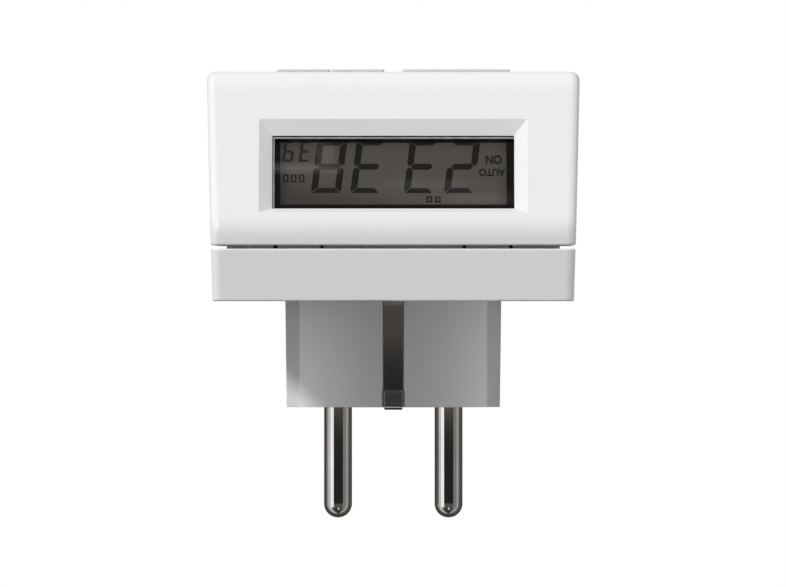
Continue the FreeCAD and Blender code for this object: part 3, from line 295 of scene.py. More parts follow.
def circuit_laminate(name):
    """Green board with lighter tracks under the mask."""
    material, tree, shader = new_finish(name, (0.02, 0.13, 0.045), 0.28)
    grid = {"Vector": object_points(tree), "Scale": 420.0, "Randomness": 0.85}
    cells = add_node(tree, "ShaderNodeTexVoronoi", grid, distance="CHEBYCHEV", feature="F1")
    away = cells.outputs["Distance"]
    tracks = colour_between(tree, away, (0.012, 0.075, 0.028), (0.03, 0.17, 0.06), 0.38, 0.42)
    feed(tree, shader, {"Base Color": tracks})
    raise_surface(tree, shader, away, 1.5e-05)
    return material


def banded(name, colour, bands, axis, roughness):
    """Plain coat with coloured rings at given places along one axis, in metres."""
    material, tree, shader = new_finish(name, colour, roughness)
    points = object_points(tree)
    place = split_axes(tree, points)[axis]
    tone = (*colour, 1.0)
    for centre, half_width, ring in bands:
        span = {0: place, 1: centre, 2: half_width}
        inside = add_node(tree, "ShaderNodeMath", span, operation="COMPARE").outputs["Value"]
        colours = {"Factor": inside, 6: tone, 7: (*ring, 1.0)}
        tone = add_node(tree, "ShaderNodeMix", colours, data_type="RGBA").outputs[2]
    feed(tree, shader, {"Base Color": tone})
    raise_surface(tree, shader, noise(tree, points, 900.0, 3.0), 2e-05, 0.0001)
    return material


def striped(name, first, second, pitch, roughness, depth):
    """Fine stripes along X with a given pitch in metres."""
    material, tree, shader = new_finish(name, first, roughness)
    stripes_at_scale_one = 10.0 / math.pi
    scale = 1.0 / pitch / stripes_at_scale_one
    lines = {"Vector": object_points(tree), "Scale": scale, "Distortion": 0.0}
    wave = add_node(tree, "ShaderNodeTexWave", lines, wave_type="BANDS", bands_direction="X")
    height = wave.outputs["Fac"]
    feed(tree, shader, {"Base Color": colour_between(tree, height, first, second, 0.4, 0.6)})
    raise_surface(tree, shader, height, depth)
    return material


def clear_plastic(name):
    """Clear window that lets the light through to the display."""
    material, tree, shader = new_finish(name, (0.97, 0.965, 0.955), 0.0)
    smear = noise(tree, object_points(tree, (1.0, 0.3, 1.0)), 180.0, 4.0)
    rough = value_between(tree, smear, 0.0, 0.003)
    feed(tree, shader, {"Transmission Weight": 1.0, "IOR": 1.49, "Roughness": rough})
    through = add_node(tree, "ShaderNodeBsdfTransparent", {"Color": (0.93, 0.93, 0.92, 1.0)})
    ray = add_node(tree, "ShaderNodeLightPath").outputs
    unseen = maths(tree, "MAXIMUM", ray["Is Shadow Ray"], ray["Is Diffuse Ray"])
    mix_surfaces(tree, unseen, shader, through)
    return material


def display_film(name, colour):
    """Polarising film of the display, brownish grey, with painted shade that darkens it towards three of
    its edges, where the frame shades it.
    """
    material, tree, shader = new_finish(name, colour, 0.32)
    points = object_points(tree)
    place = split_axes(tree, points)
    low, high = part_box("display_panel")
    rise = high.z - low.z
    slanted = maths(tree, "ADD", place["Z"], maths(tree, "MULTIPLY", place["X"], 0.2))
    # painted shade: darker towards both ends along X and towards the low edge, standing in for the
    # frame's shade
    edges = [
        value_between(tree, place["X"], 0.45, 1.0, low.x * 0.93, low.x * 0.8),
        value_between(tree, place["X"], 1.0, 0.7, high.x * 0.8, high.x * 0.91),
        value_between(tree, slanted, 0.6, 1.0, low.z + rise * 0.12, low.z + rise * 0.38),
    ]
    shade = value_between(tree, noise(tree, points, 90.0, 3.0), 0.94, 1.04)
    for edge in edges:
        shade = maths(tree, "MULTIPLY", edge, shade)
    tone = colour_between(tree, shade, grey(0.0), colour, 0.0, 1.0)
    feed(tree, shader, {"Base Color": tone, "Specular IOR Level": 0.1})
    raise_surface(tree, shader, noise(tree, points, 9000.0, 1.0), 1e-06)
    return material


def lacquer(name, colour, roughness, waviness):
    """Dipped or moulded coat with soft waves."""
    material, tree, shader = new_finish(name, colour, roughness)
    waves = noise(tree, object_points(tree), 450.0)
    feed(tree, shader, {"Base Color": colour_between(tree, waves, scaled(colour, 0.85), colour)})
    raise_surface(tree, shader, waves, waviness, 0.0002)
    return material


def segment_ink(name, colour):
    """Dark segments, slightly uneven like crystal between two films."""
    material, tree, shader = new_finish(name, colour, 0.5)
    shade = noise(tree, object_points(tree), 700.0)
    tone = colour_between(tree, shade, colour, scaled(colour, 1.5))
    feed(tree, shader, {"Base Color": tone, "Specular IOR Level": 0.0})
    return material


def node_centre(name):
    """Middle of a CAD node's box."""
    low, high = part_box(name)
    return (low + high) / 2


def make_finishes(settings):
    """One material for each of the record's material slots."""
    casing = settings.timer_casing
    metal = settings.timer_metal
    display = settings.timer_display
    diode = node_centre("rectifier_diodes").y
    resistor = node_centre("resistors").y
    diode_band = [(diode + 0.0016, 0.0004, grey(0.6))]
    resistor_bands = [
        (resistor - 0.0019, 0.0003, (0.35, 0.16, 0.02)),
        (resistor - 0.0009, 0.0003, (0.3, 0.02, 0.02)),
        (resistor + 0.0001, 0.0003, grey(0.02)),
        (resistor + 0.0018, 0.0003, (0.5, 0.35, 0.06)),
    ]
    along_z = (2500, 2500, 60)

    def plastic(name, colour, roughness, edge_share=1.0):
        return moulded_plastic(name, colour, roughness, casing.grain, casing.edge_radius * edge_share)

    return {
        "casing_white": plastic("casing plastic", casing.colour, casing.roughness),
        # the keys' darker white is painted shade
        "key_white": plastic("shaded key plastic", casing.shaded_key_colour, casing.roughness, 0.4),
        "plunger_grey": plastic("plunger plastic", (0.1, 0.1, 0.11), 0.5),
        "clear_window": clear_plastic("clear window"),
        "display_glass": display_film("display film", display.glass_colour),
        "inner_moulding": plastic("inner moulding", (0.55, 0.55, 0.52), 0.5),
        "relay_cover_black": plastic("relay cover", (0.012, 0.016, 0.045), 0.3),
        "contact_rubber": striped(
            "contact rubber", (0.03, 0.03, 0.035), (0.6, 0.35, 0.36), 0.00018, 0.6, 1e-05
        ),
        "circuit_board": circuit_laminate("board"),
        "chip_resin": lacquer("chip resin", (0.012, 0.012, 0.013), 0.22, 4e-05),
        "bright_steel": drawn_metal("bright steel", (0.62, 0.62, 0.6), 0.24, (900, 900, 900)),
        "cable_film": striped("cable film", (0.62, 0.62, 0.6), (0.72, 0.72, 0.7), 0.0015, 0.4, 6e-05),
        "switch_black": plastic("switch plastic", (0.02, 0.02, 0.021), 0.42),
        "relay_iron": drawn_metal("plated iron", (0.55, 0.53, 0.48), 0.32, (300, 9000, 9000)),
        "copper_winding": drawn_metal("enamelled wire", (0.75, 0.3, 0.12), 0.28, (900, 900, 900)),
        "contact_brass": drawn_metal("contact brass", (0.76, 0.58, 0.27), 0.26, (9000, 9000, 300)),
        "capacitor_box": lacquer("capacitor box", (0.55, 0.36, 0.03), 0.3, 2e-05),
        "capacitor_sleeve": lacquer("capacitor sleeve", (0.012, 0.018, 0.05), 0.25, 2e-05),
        "varistor_coat": lacquer("varistor coat", (0.02, 0.09, 0.36), 0.22, 8e-05),
        "cell_can": drawn_metal("cell can", (0.6, 0.59, 0.56), 0.22, (9000, 9000, 400)),
        "diode_black": banded("diode body", (0.015, 0.015, 0.016), diode_band, "Y", 0.35),
        "resistor_coat": banded("resistor coat", (0.42, 0.3, 0.17), resistor_bands, "Y", 0.4),
        "nickel_pin": drawn_metal("nickel plating", metal.pin_colour, 0.045, along_z, 1e-07),
        "earth_steel": drawn_metal("earth strip", metal.earth_colour, 0.045, along_z, 1e-07),
        "shutter_grey": plastic("shutter plastic", (0.62, 0.62, 0.6), 0.45),
    }


def finish_named(slot_name):
    """The material that make_finishes gave to a slot."""
    node = next(s["node"] for s in frame["record"]["subparts"] if s["material_slot"] == slot_name)
    return frame["nodes"][node].data.materials[0]


def new_object(name, data):
    """Object in the scene with the data given."""
    made = bpy.data.objects.new(name, data)
    bpy.context.scene.collection.objects.link(made)
    return made


def final_mesh(source):
    """The plain mesh that an object's curve or modifiers make, in place of the object."""
    bpy.context.view_layer.update()
    graph = bpy.context.evaluated_depsgraph_get()
    mesh = bpy.data.meshes.new_from_object(source.evaluated_get(graph), depsgraph=graph)
    bpy.data.objects.remove(source)
    return mesh


def add_piece(name, mesh, body, slot_name, material=None):
    """A finished piece at the origin that rides on a body and takes a slot's finish."""
    piece = new_object(name, mesh)
    mesh.materials.clear()
    mesh.materials.append(material or finish_named(slot_name))
    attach(piece, body)
    return piece


def add_display_piece(name, mesh, material):
    """Thin piece on the display."""
    return add_piece(name, mesh, "casing", "display_glass", material)


def slope_point(u, v, level):
    """Point on the display's slope, from reading coordinates and a height above the panel.

    All are in millimetres. u runs right and v up for a reader, who holds the pins up."""
    corners = [vertex.co for vertex in frame["nodes"]["display_panel"].data.vertices]
    along = [corner.dot(UP_SLOPE) for corner in corners]
    out = max(corner.dot(OUT_OF_SLOPE) for corner in corners)
    up = (min(along) + max(along)) / 2 - (v + LAYOUT_SHIFT) * MM
    return -u * MM * ACROSS + up * UP_SLOPE + (out + level * MM) * OUT_OF_SLOPE


def rectangle(left, right, low, high):
    """Corners of a rectangle, in their order round it."""
    return [(left, low), (right, low), (right, high), (left, high)]


def bridge(bm, first, second):
    """Faces between two closed rings of points."""
    count = len(first)
    for index in range(count):
        after = (index + 1) % count
        bm.faces.new((first[index], first[after], second[after], second[index]))


def plate(bm, outline, level, thickness):
    """Flat plate on the display panel, from an outline in reading coordinates."""
    lower = [bm.verts.new(slope_point(u, v, level)) for u, v in outline]
    upper = [bm.verts.new(slope_point(u, v, level + thickness)) for u, v in outline]
    bm.faces.new(lower[::-1])
    bm.faces.new(upper)
    bridge(bm, lower, upper)


SEGMENTS_ON = {"0": "abcdef", "1": "bc", "2": "abged", "3": "abgcd", "4": "fgbc"}
SEGMENTS_ON.update({"5": "afgcd", "6": "afgedc", "7": "abc", "8": "abcdefg", "9": "abcdfg"})


def segment_outline(letter, width, height, stroke, gap):
    """Outline of one segment of a digit whose lower left corner is at the origin."""
    reach = gap / 2
    middle = height / 2
    bar = stroke * 0.59
    if letter in "ad":
        outer = stroke * 0.12 + reach
        inner = stroke * 0.86 + reach
        rise = stroke * 0.96
        flat = [(outer, 0.0), (width - outer, 0.0), (width - inner, rise), (inner, rise)]
        return flat if letter == "d" else [(x, height - y) for x, y in reversed(flat)]
    if letter == "g":
        tip = stroke * 0.5 + reach
        shoulder = tip + stroke * 0.42
        half = [(tip, middle), (shoulder, middle - bar), (width - shoulder, middle - bar)]
        return half + [(width - x, height - y) for x, y in half]
    upright = [
        (0.0, height - stroke * 0.55),
        (0.0, middle + bar * 0.75 + reach),
        (stroke * 0.42, middle + reach),
        (stroke * 0.62, middle + reach + bar * 0.15),
        (stroke, middle + bar * 0.85 + reach),
        (stroke, height - stroke - reach),
        (stroke * 0.24, height - stroke * 0.2 - reach),
        (stroke * 0.08, height - stroke * 0.3 - reach),
    ]
    if letter in "ec":
        upright = [(x, height - y) for x, y in reversed(upright)]
    if letter in "bc":
        upright = [(width - x, y) for x, y in reversed(upright)]
    return upright


def add_digit(bm, character, centre, size, stroke, slant, gap):
    """One digit in segments, centred on a point in reading coordinates."""
    width, height = size
    for letter in SEGMENTS_ON[character]:
        outline = []
        for x, y in segment_outline(letter, width, height, stroke, gap):
            u = centre[0] + x - width / 2 + (y - height / 2) * math.tan(slant)
            outline.append((u, centre[1] + y - height / 2))
        plate(bm, outline, INK_LEVEL, INK_THICKNESS)


def mesh_from(bm, name):
    """Mesh with its faces outwards, from a bmesh that is then freed."""
    bmesh.ops.recalc_face_normals(bm, faces=bm.faces)
    mesh = bpy.data.meshes.new(name)
    bm.to_mesh(mesh)
    bm.free()
    return mesh


def make_digits(settings):
    """Large and small digits of the display."""
    display = settings.timer_display
    large = [(display.hours, (-11.67, -4.84)), (display.minutes, (4.21, 10.89))]
    small = [(display.seconds, (14.94, 17.77))]
    large_ink = segment_ink("segment ink", display.ink_colour)
    small_ink = segment_ink("faint segment ink", display.faint_colour)
    large_size = (5.1, display.digit_height / MM)
    small_size = (1.88, 4.56)
    forms = [
        ("large_digits", large, large_size, -2.63, display.stroke / MM, 0.3, large_ink),
        ("small_digits", small, small_size, -5.97, 0.5, 0.08, small_ink),
    ]
    for name, groups, size, row, stroke, gap, ink in forms:
        bm = bmesh.new()
        for digits, places in groups:
            for character, place in zip(digits, places):
                add_digit(bm, character, (place, row), size, stroke, display.slant, gap)
        add_display_piece(name, mesh_from(bm, name), ink)


def word_mesh(text, centre, cap_height, width):
    """Letters as thin plates on the display, fitted to a height and a width."""
    level = 0.03
    depth = 0.04
    curve = bpy.data.curves.new(text, "FONT")
    curve.body = text
    curve.extrude = 0.5
    curve.offset = 0.025
    curve.resolution_u = 4
    mesh = final_mesh(new_object(text, curve))
    xs = [vertex.co.x for vertex in mesh.vertices]
    ys = [vertex.co.y for vertex in mesh.vertices]
    for vertex in mesh.vertices:
        u = centre[0] + ((vertex.co.x - min(xs)) / (max(xs) - min(xs)) - 0.5) * width
        v = centre[1] + ((vertex.co.y - min(ys)) / (max(ys) - min(ys)) - 0.5) * cap_height
        vertex.co = slope_point(u, v, level + vertex.co.z * depth)
    return mesh


def inset(box, margin):
    """A box of reading coordinates made smaller all round."""
    left, right, low, high = box
    return (left + margin, right - margin, low + margin, high - margin)


def add_ring(bm, outer, inner, low, high):
    """Flat ring between two boxes of reading coordinates, from a low to a high level."""

    def corners(box, level):
        return [bm.verts.new(slope_point(u, v, level)) for u, v in rectangle(*box)]

    rings = [[corners(outer, level), corners(inner, level)] for level in (low, high)]
    for first, second in (*rings, *zip(*rings)):
        bridge(bm, first, second)


def make_words():
    """Mode words of the display and plain marks at its other two places."""
    ink = bpy.data.materials["segment ink"]
    words = [
        ("auto_word", "AUTO", (-16.76, -1.37), 1.64, 4.4),
        ("on_word", "ON", (-17.05, -4.15), 1.97, 2.7),
    ]
    for name, letters, centre, height, width in words:
        add_display_piece(name, word_mesh(letters, centre, height, width), ink)
    mark_width = 0.95
    mark_stroke = 0.26
    bm = bmesh.new()
    for centre, row, count, pitch, height in [(16.9, -0.08, 3, 1.35, 1.7), (-6.83, 4.55, 2, 1.45, 1.3)]:
        for index in range(count):
            left = centre + (index - (count - 1) / 2) * pitch - mark_width / 2
            outer = (left, left + mark_width, row - height / 2, row + height / 2)
            add_ring(bm, outer, inset(outer, mark_stroke), INK_LEVEL, INK_LEVEL + INK_THICKNESS)
    add_display_piece("display_marks", mesh_from(bm, "display_marks"), ink)


def make_mask():
    """Black frame behind the window, a black lining of painted shade round its opening, and a pale plate
    inside it painted as a glint on the window's edge.
    """
    cover = node_centre("display_window")
    half_window = 0.5
    face = (cover.dot(OUT_OF_SLOPE) - slope_point(0, 0, 0).dot(OUT_OF_SLOPE)) / MM + half_window
    wide, high = 20.5, 7.95
    top, bottom = -high - LAYOUT_SHIFT, high - LAYOUT_SHIFT
    shade_lining = 0.03
    glint_x, glint_y = 0.34, 0.37
    opening = (-wide, wide, top, bottom)
    rings = [
        ("window_mask", (-21.6, 21.6, -9.0, 9.0), (-19.2, 19.2, -8.75, 5.7), 0.05, 0.08, 0.003),
        # painted shade: a black lining on the opening's wall, where the wall lies only in shade
        ("window_shade_lining", opening, inset(opening, shade_lining), face + 0.51, face + 0.76, 0.004),
    ]
    for name, outer, inner, low, high_level, tone in rings:
        bm = bmesh.new()
        add_ring(bm, outer, inner, low, high_level)
        paint = segment_ink(name.replace("_", " "), grey(tone))
        add_display_piece(name, mesh_from(bm, name), paint)
    # painted glint: a pale grey plate along two sides of the opening stands in for light caught on the
    # window's edge
    corners = [
        (-wide, top),
        (wide, top),
        (wide, bottom),
        (wide - glint_x, bottom),
        (wide - glint_x, top + glint_y),
        (-wide, top + glint_y),
    ]
    bm = bmesh.new()
    plate(bm, corners, face + 0.45, 0.05)
    paint = segment_ink("window edge glint", grey(0.3))
    edge = add_display_piece("window_edge_glint", mesh_from(bm, "window_edge_glint"), paint)
    # the painted glint casts no shadow on the display
    edge.visible_shadow = False


def rounded_path(points, radius, steps=6):
    """Path of (y, z) points with its corners rounded."""
    corners = [Vector(point) for point in points]
    path = [corners[0]]
    for before, corner, after in zip(corners, corners[1:], corners[2:]):
        back = before - corner
        ahead = after - corner
        cut = min(radius, back.length * 0.45, ahead.length * 0.45)
        start = corner + back.normalized() * cut
        end = corner + ahead.normalized() * cut
        for index in range(steps + 1):
            t = index / steps
            path.append(start * (1 - t) ** 2 + corner * 2 * t * (1 - t) + end * t**2)
    return path + [corners[-1]]


def swept_strip(path, widths, thickness, edge):
    """Strip of metal with eased edges along a path of (y, z) points in millimetres."""
    bm = bmesh.new()
    rings = []
    for index, point in enumerate(path):
        before = path[max(index - 1, 0)]
        after = path[min(index + 1, len(path) - 1)]
        along = (after - before).normalized()
        side = Vector((-along.y, along.x))
        half_w = widths(point.y)
        half_t = thickness / 2
        flank = [
            (half_w - edge, -half_t),
            (half_w, -half_t + edge),
            (half_w, half_t - edge),
            (half_w - edge, half_t),
        ]
        ring = []
        for x, t in flank + [(-x, -t) for x, t in flank]:
            place = point + side * t
            ring.append(bm.verts.new(Vector((x, place.x, place.y)) * MM))
        rings.append(ring)
    for first, second in zip(rings, rings[1:]):
        bridge(bm, first, second)
    bm.faces.new(rings[0][::-1])
    bm.faces.new(rings[-1])
    return bm


def make_earth_strips():
    """Earth strips with bent ends that follow the straight-sided ones."""
    line = 17.6
    hook = 15.0
    level = -0.03
    lean = 0.12
    neck_height = 2.9
    wide = 1.76
    narrow = 1.56

    def half_width(z):
        return narrow if z < neck_height else wide

    for node, side in (("earth_strip_display_end", -1), ("earth_strip_lower_end", 1)):
        points = [
            (hook, level),
            (line + lean, level),
            (line + lean, 0.75),
            (line, 2.4),
            (line, 42.75),
            (line - 1.6, 48.18),
            (line + 0.4, 52.0),
        ]
        path = rounded_path([(side * y, z) for y, z in points], 0.9)
        bm = swept_strip(path, half_width, 0.78, 0.1)
        name = node.replace("earth_strip", "bent_earth_strip")
        mesh = mesh_from(bm, name)
        mesh.shade_smooth()
        mesh.set_sharp_from_angle(angle=math.radians(32))
        piece = add_piece(name, mesh, "casing", "earth_steel")
        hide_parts(node)


def new_shape_tree(name, inputs):
    """A geometry tree with named inputs, as (tree, group input, group output)."""
    tree = bpy.data.node_groups.new(name, "GeometryNodeTree")
    tree.interface.new_socket("Geometry", in_out="INPUT", socket_type="NodeSocketGeometry")
    for label, kind in inputs:
        tree.interface.new_socket(label, in_out="INPUT", socket_type=kind)
    tree.interface.new_socket("Geometry", in_out="OUTPUT", socket_type="NodeSocketGeometry")
    return tree, tree.nodes.new("NodeGroupInput"), tree.nodes.new("NodeGroupOutput")


def end_tree(tree, given, shape, turn, output, material):
    """Ends a geometry tree in real meshes with their material, one copy of a shape on each point."""
    places = {"Points": given.outputs["Geometry"], "Instance": shape, **turn}
    copies = add_node(tree, "GeometryNodeInstanceOnPoints", places).outputs["Instances"]
    real = add_node(tree, "GeometryNodeRealizeInstances", {"Geometry": copies}).outputs["Geometry"]
    paint = add_node(tree, "GeometryNodeSetMaterial", {"Geometry": real, "Material": material})
    feed(tree, output, {"Geometry": paint.outputs["Geometry"]})


def shaped_mesh(name, points, tree, values):
    """The plain mesh that a geometry tree makes from a set of points."""
    seed = bpy.data.meshes.new(name)
    seed.from_pydata([tuple(point) for point in points], [], [])
    carrier = new_object(name, seed)
    modifier = carrier.modifiers.new("Shape", "NODES")
    modifier.node_group = tree
    for item in tree.interface.items_tree:
        if item.in_out == "INPUT" and item.name in values:
            modifier[item.identifier] = values[item.name]
    mesh = final_mesh(carrier)
    mesh.name = name
    return mesh


def lifted(tree, geometry, height):
    """Moves geometry up by a socket's value."""
    shift = add_node(tree, "ShaderNodeCombineXYZ", {"Z": height}).outputs["Vector"]
    move = add_node(tree, "GeometryNodeTransform", {"Geometry": geometry, "Translation": shift})
    return move.outputs["Geometry"]


def joined(tree, parts):
    """Several pieces of geometry as one."""
    both = add_node(tree, "GeometryNodeJoinGeometry")
    for part in parts:
        tree.links.new(part, both.inputs["Geometry"])
    return both.outputs["Geometry"]


def coiled_tube(tree, rotations, radius, height, tube_radius, steps, sides):
    """Round tube along a spiral that climbs at a steady rate."""
    path = {"Resolution": steps, "Rotations": rotations, "Start Radius": radius}
    path.update({"End Radius": radius, "Height": height})
    spiral = add_node(tree, "GeometryNodeCurveSpiral", path).outputs["Curve"]
    section = {"Resolution": sides, "Radius": tube_radius}
    circle = add_node(tree, "GeometryNodeCurvePrimitiveCircle", section).outputs["Curve"]
    sweep = {"Curve": spiral, "Profile Curve": circle, "Fill Caps": True}
    return add_node(tree, "GeometryNodeCurveToMesh", sweep).outputs["Mesh"]


def screw_tree(material):
    """Pan-head screws with a cross recess and a thread, one on each point."""
    inputs = [(label, "NodeSocketFloat") for label in SCREW_SIZES] + [("Axis", "NodeSocketVector")]
    tree, given, output = new_shape_tree("Screws", inputs)
    head_radius, head_height, shank_radius, length, pitch = (given.outputs[n] for n in SCREW_SIZES)

    def part_of(size, share):
        return maths(tree, "MULTIPLY", size, share)

    pan = {"Vertices": 40, "Radius Bottom": part_of(head_radius, 0.82)}
    pan.update({"Radius Top": head_radius, "Depth": head_height})
    head = add_node(tree, "GeometryNodeMeshCone", pan).outputs["Mesh"]
    recess = add_node(tree, "GeometryNodeMeshBoolean", operation="UNION")
    for share_x, share_y in ((1.15, 0.26), (0.26, 1.15)):
        size = {"X": part_of(head_radius, share_x), "Y": part_of(head_radius, share_y), "Z": head_height}
        corner = add_node(tree, "ShaderNodeCombineXYZ", size).outputs["Vector"]
        bar = add_node(tree, "GeometryNodeMeshCube", {"Size": corner}).outputs["Mesh"]
        tree.links.new(bar, recess.inputs["Mesh 2"])
    drive = lifted(tree, recess.outputs["Mesh"], part_of(head_height, -0.15))
    shapes = {"Mesh 1": head, "Mesh 2": drive}
    cut = add_node(tree, "GeometryNodeMeshBoolean", shapes, operation="DIFFERENCE").outputs["Mesh"]
    rod = {"Vertices": 20, "Radius": part_of(shank_radius, 0.84), "Depth": length}
    core = add_node(tree, "GeometryNodeMeshCylinder", rod).outputs["Mesh"]
    turns = maths(tree, "DIVIDE", length, pitch)
    ridge = part_of(shank_radius, 0.86)
    thread = coiled_tube(tree, turns, ridge, part_of(length, 0.92), part_of(shank_radius, 0.14), 14, 4)
    parts = [
        lifted(tree, cut, part_of(head_height, 0.5)),
        lifted(tree, core, maths(tree, "ADD", head_height, part_of(length, 0.5))),
        lifted(tree, thread, head_height),
    ]
    along = {"Vector": given.outputs["Axis"]}
    turn = add_node(tree, "FunctionNodeAlignRotationToVector", along, axis="Z").outputs["Rotation"]
    end_tree(tree, given, joined(tree, parts), {"Rotation": turn}, output, material)
    return tree


def islands(node):
    """The separate solids of a CAD node, each as a list of its points."""
    bm = bmesh.new()
    bm.from_mesh(frame["nodes"][node].data)
    bmesh.ops.remove_doubles(bm, verts=bm.verts, dist=1e-6)
    seen = set()
    groups = []
    for start in bm.verts:
        queue = [] if start in seen else [start]
        seen.add(start)
        group = []
        while queue:
            vertex = queue.pop()
            group.append(vertex.co.copy())
            fresh = {edge.other_vert(vertex) for edge in vertex.link_edges} - seen
            seen |= fresh
            queue.extend(fresh)
        if group:
            groups.append(group)
    bm.free()
    return groups


def screw_seats(node, axis):
    """Centre of each screw's head face, and the screws' length along their axis."""
    seats = []
    for points in islands(node):
        place = Vector()
        for direction in (ACROSS, axis.cross(ACROSS)):
            reach = [point.dot(direction) for point in points]
            place += direction * (min(reach) + max(reach)) / 2
        along = [point.dot(axis) for point in points]
        seats.append(place + axis * min(along))
    return seats, max(along) - min(along)


def make_screws(settings):
    """Screws with cross recesses and threads in place of the plain ones."""
    tree = screw_tree(finish_named("bright_steel"))
    up = Vector((0, 0, 1))
    small = (1.8, 1.2, 0.9, 1.0)
    rows = [
        ("cover_screws", up, (2.8, 2.0, 1.4, 11 / 7)),
        ("key_board_screws", up, small),
        ("power_board_screws", -up, small),
        ("display_screws", OUT_OF_SLOPE, small),
    ]
    small_pitch = settings.timer_metal.thread_pitch
    for node, axis, (head_radius, head_height, shank_radius, pitch_share) in rows:
        seats, length = screw_seats(node, axis)
        head = [head_radius * MM, head_height * MM, shank_radius * MM]
        sizes = head + [length - head_height * MM, small_pitch * pitch_share]
        values = dict(zip(SCREW_SIZES, sizes), Axis=tuple(axis))
        mesh = shaped_mesh(f"threaded_{node}", seats, tree, values)
        piece = add_piece(f"threaded_{node}", mesh, "casing", "bright_steel")
        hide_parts(node)


def winding_tree(material):
    """Layers of close turns of round wire on one point."""
    labels = ["Turn radius", "Wire radius", "Height", "Turns"]
    tree, given, output = new_shape_tree("Winding", [(label, "NodeSocketFloat") for label in labels])
    radius, wire, height, turns = (given.outputs[label] for label in labels)
    layers = []
    for layer in range(2):
        depth = maths(tree, "MULTIPLY", wire, 1.8 * layer)
        inner = maths(tree, "SUBTRACT", radius, depth)
        layers.append(coiled_tube(tree, turns, inner, height, wire, 28, 6))
    end_tree(tree, given, joined(tree, layers), {}, output, material)
    return tree


def make_winding(settings):
    """Wire turns in place of the relay's plain sleeve."""
    low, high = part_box("relay_winding")
    turns = settings.timer_metal.coil_turns
    height = high.z - low.z
    wire = height / turns / 2
    centre = (low + high) / 2
    tree = winding_tree(finish_named("copper_winding"))
    values = {
        "Turn radius": (high.x - low.x) / 2 - wire,
        "Wire radius": wire,
        "Height": height - 2 * wire,
        "Turns": float(turns - 1),
    }
    seat = (centre.x, centre.y, low.z + wire)
    mesh = shaped_mesh("coil_turns", [seat], tree, values)
    mesh.shade_smooth()
    piece = add_piece("coil_turns", mesh, "casing", "copper_winding")
    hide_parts("relay_winding")


def soft_strips(tree, shader, strips):
    """Brighter soft-edged strips on a card.

    Each gives its middle, half size and softness along X, the same along Y, and its glow."""
    place = split_axes(tree, object_points(tree))
    total = 1.0
    for along_x, along_y, glow in strips:
        share = glow
        for axis, (middle, half, soft) in (("X", along_x), ("Y", along_y)):
            offset = maths(tree, "SUBTRACT", place[axis], middle * MM)
            away = maths(tree, "ABSOLUTE", offset, 0.0)
            inside = value_between(tree, away, 1.0, 0.0, (half - soft) * MM, (half + soft) * MM)
            share = maths(tree, "MULTIPLY", inside, share)
        total = maths(tree, "ADD", share, total)
    feed(tree, shader, {"Emission Strength": total})


def height_bands(tree, shader, levels):
    """Colours of a card from its lowest to its highest level, in millimetres."""
    height = split_axes(tree, object_points(tree))["Z"]
    low, high = levels[0][0], levels[-1][0]
    share = value_between(tree, height, 0.0, 1.0, low * MM, high * MM)
    stops = [((level - low) / (high - low), colour) for level, colour in levels]
    feed(tree, shader, {"Emission Color": colour_ramp(tree, share, stops, "EASE")})


def add_card(name, mesh, colour):
    """Plain glowing card that only reflections show, as (tree, shader)."""
    material, tree, shader = new_finish(name, (0.0, 0.0, 0.0), 0.9)
    shader.inputs["Emission Color"].default_value = (*colour, 1.0)
    shader.inputs["Emission Strength"].default_value = 1.0
    mesh.materials.append(material)
    made = new_object(name, mesh)
    made.visible_camera = False
    made.visible_diffuse = False
    made.visible_shadow = False
    made.visible_volume_scatter = False
    return tree, shader


def arc_card(name, first, last, colour, steps, edges):
    """Card round the object between two bearings in degrees from the front.

    Each of its two long edges is given by how far out it lies and how high."""
    bm = bmesh.new()
    spokes = []
    for index in range(steps + 1):
        angle = math.radians(first + (last - first) * index / steps)
        x = math.sin(angle)
        y = -math.cos(angle)
        spokes.append([bm.verts.new((x * out, y * out, level)) for out, level in edges])
    for before, after in zip(spokes, spokes[1:]):
        bm.faces.new((before[0], after[0], after[1], before[1]))
    return add_card(name, mesh_from(bm, name), colour)


def upright_card(name, first, last, colour):
    """Upright card on an arc round the object."""
    edges = [(CARD_REACH, -CARD_LEVEL), (CARD_REACH, CARD_LEVEL)]
    return arc_card(name, first, last, colour, 24, edges)


def low_sector(name, first, last, colour):
    """Level card that carries an upright card's band on towards the point under the pins."""
    inner_reach = 0.03
    arc_card(name, first, last, colour, 12, [(inner_reach, -CARD_LEVEL), (CARD_REACH, -CARD_LEVEL)])


def flat_card(name, outline, level, colour):
    """Level card, from an outline in millimetres."""
    bm = bmesh.new()
    bm.faces.new([bm.verts.new((x * MM, y * MM, level * MM)) for x, y in outline])
    return add_card(name, mesh_from(bm, name), colour)


def make_world(settings):
    """Light from each side in its own strength, and white for the camera, glass and metal."""
    studio = settings.timer_studio
    world = bpy.data.worlds.new("studio")
    world.use_nodes = True
    tree = world.node_tree
    split = split_axes(tree, add_node(tree, "ShaderNodeTexCoord").outputs["Generated"])
    sides = {
        "X": (studio.left, studio.right),
        "Y": (studio.front, studio.back),
        "Z": (studio.below, studio.above),
    }
    total = 0.0
    for axis, (low, high) in sides.items():
        share = maths(tree, "MULTIPLY", split[axis], split[axis])
        side = maths(tree, "GREATER_THAN", split[axis], 0.0)
        strength = maths(tree, "ADD", maths(tree, "MULTIPLY", side, high - low), low)
        total = maths(tree, "ADD", maths(tree, "MULTIPLY", share, strength), total)
    slanted = maths(tree, "MULTIPLY", split["X"], split["Z"])
    total = maths(tree, "SUBTRACT", total, maths(tree, "MULTIPLY", slanted, studio.slant))
    ray = add_node(tree, "ShaderNodeLightPath").outputs
    seen = maths(tree, "MAXIMUM", ray["Is Camera Ray"], ray["Is Glossy Ray"])
    seen = maths(tree, "MAXIMUM", seen, ray["Is Transmission Ray"])
    strength = value_between(tree, seen, total, 1.0, 0.0, 1.0)
    feed(tree, tree.nodes["Background"], {"Color": (1.0, 1.0, 1.0, 1.0), "Strength": strength})
    bpy.context.scene.world = world


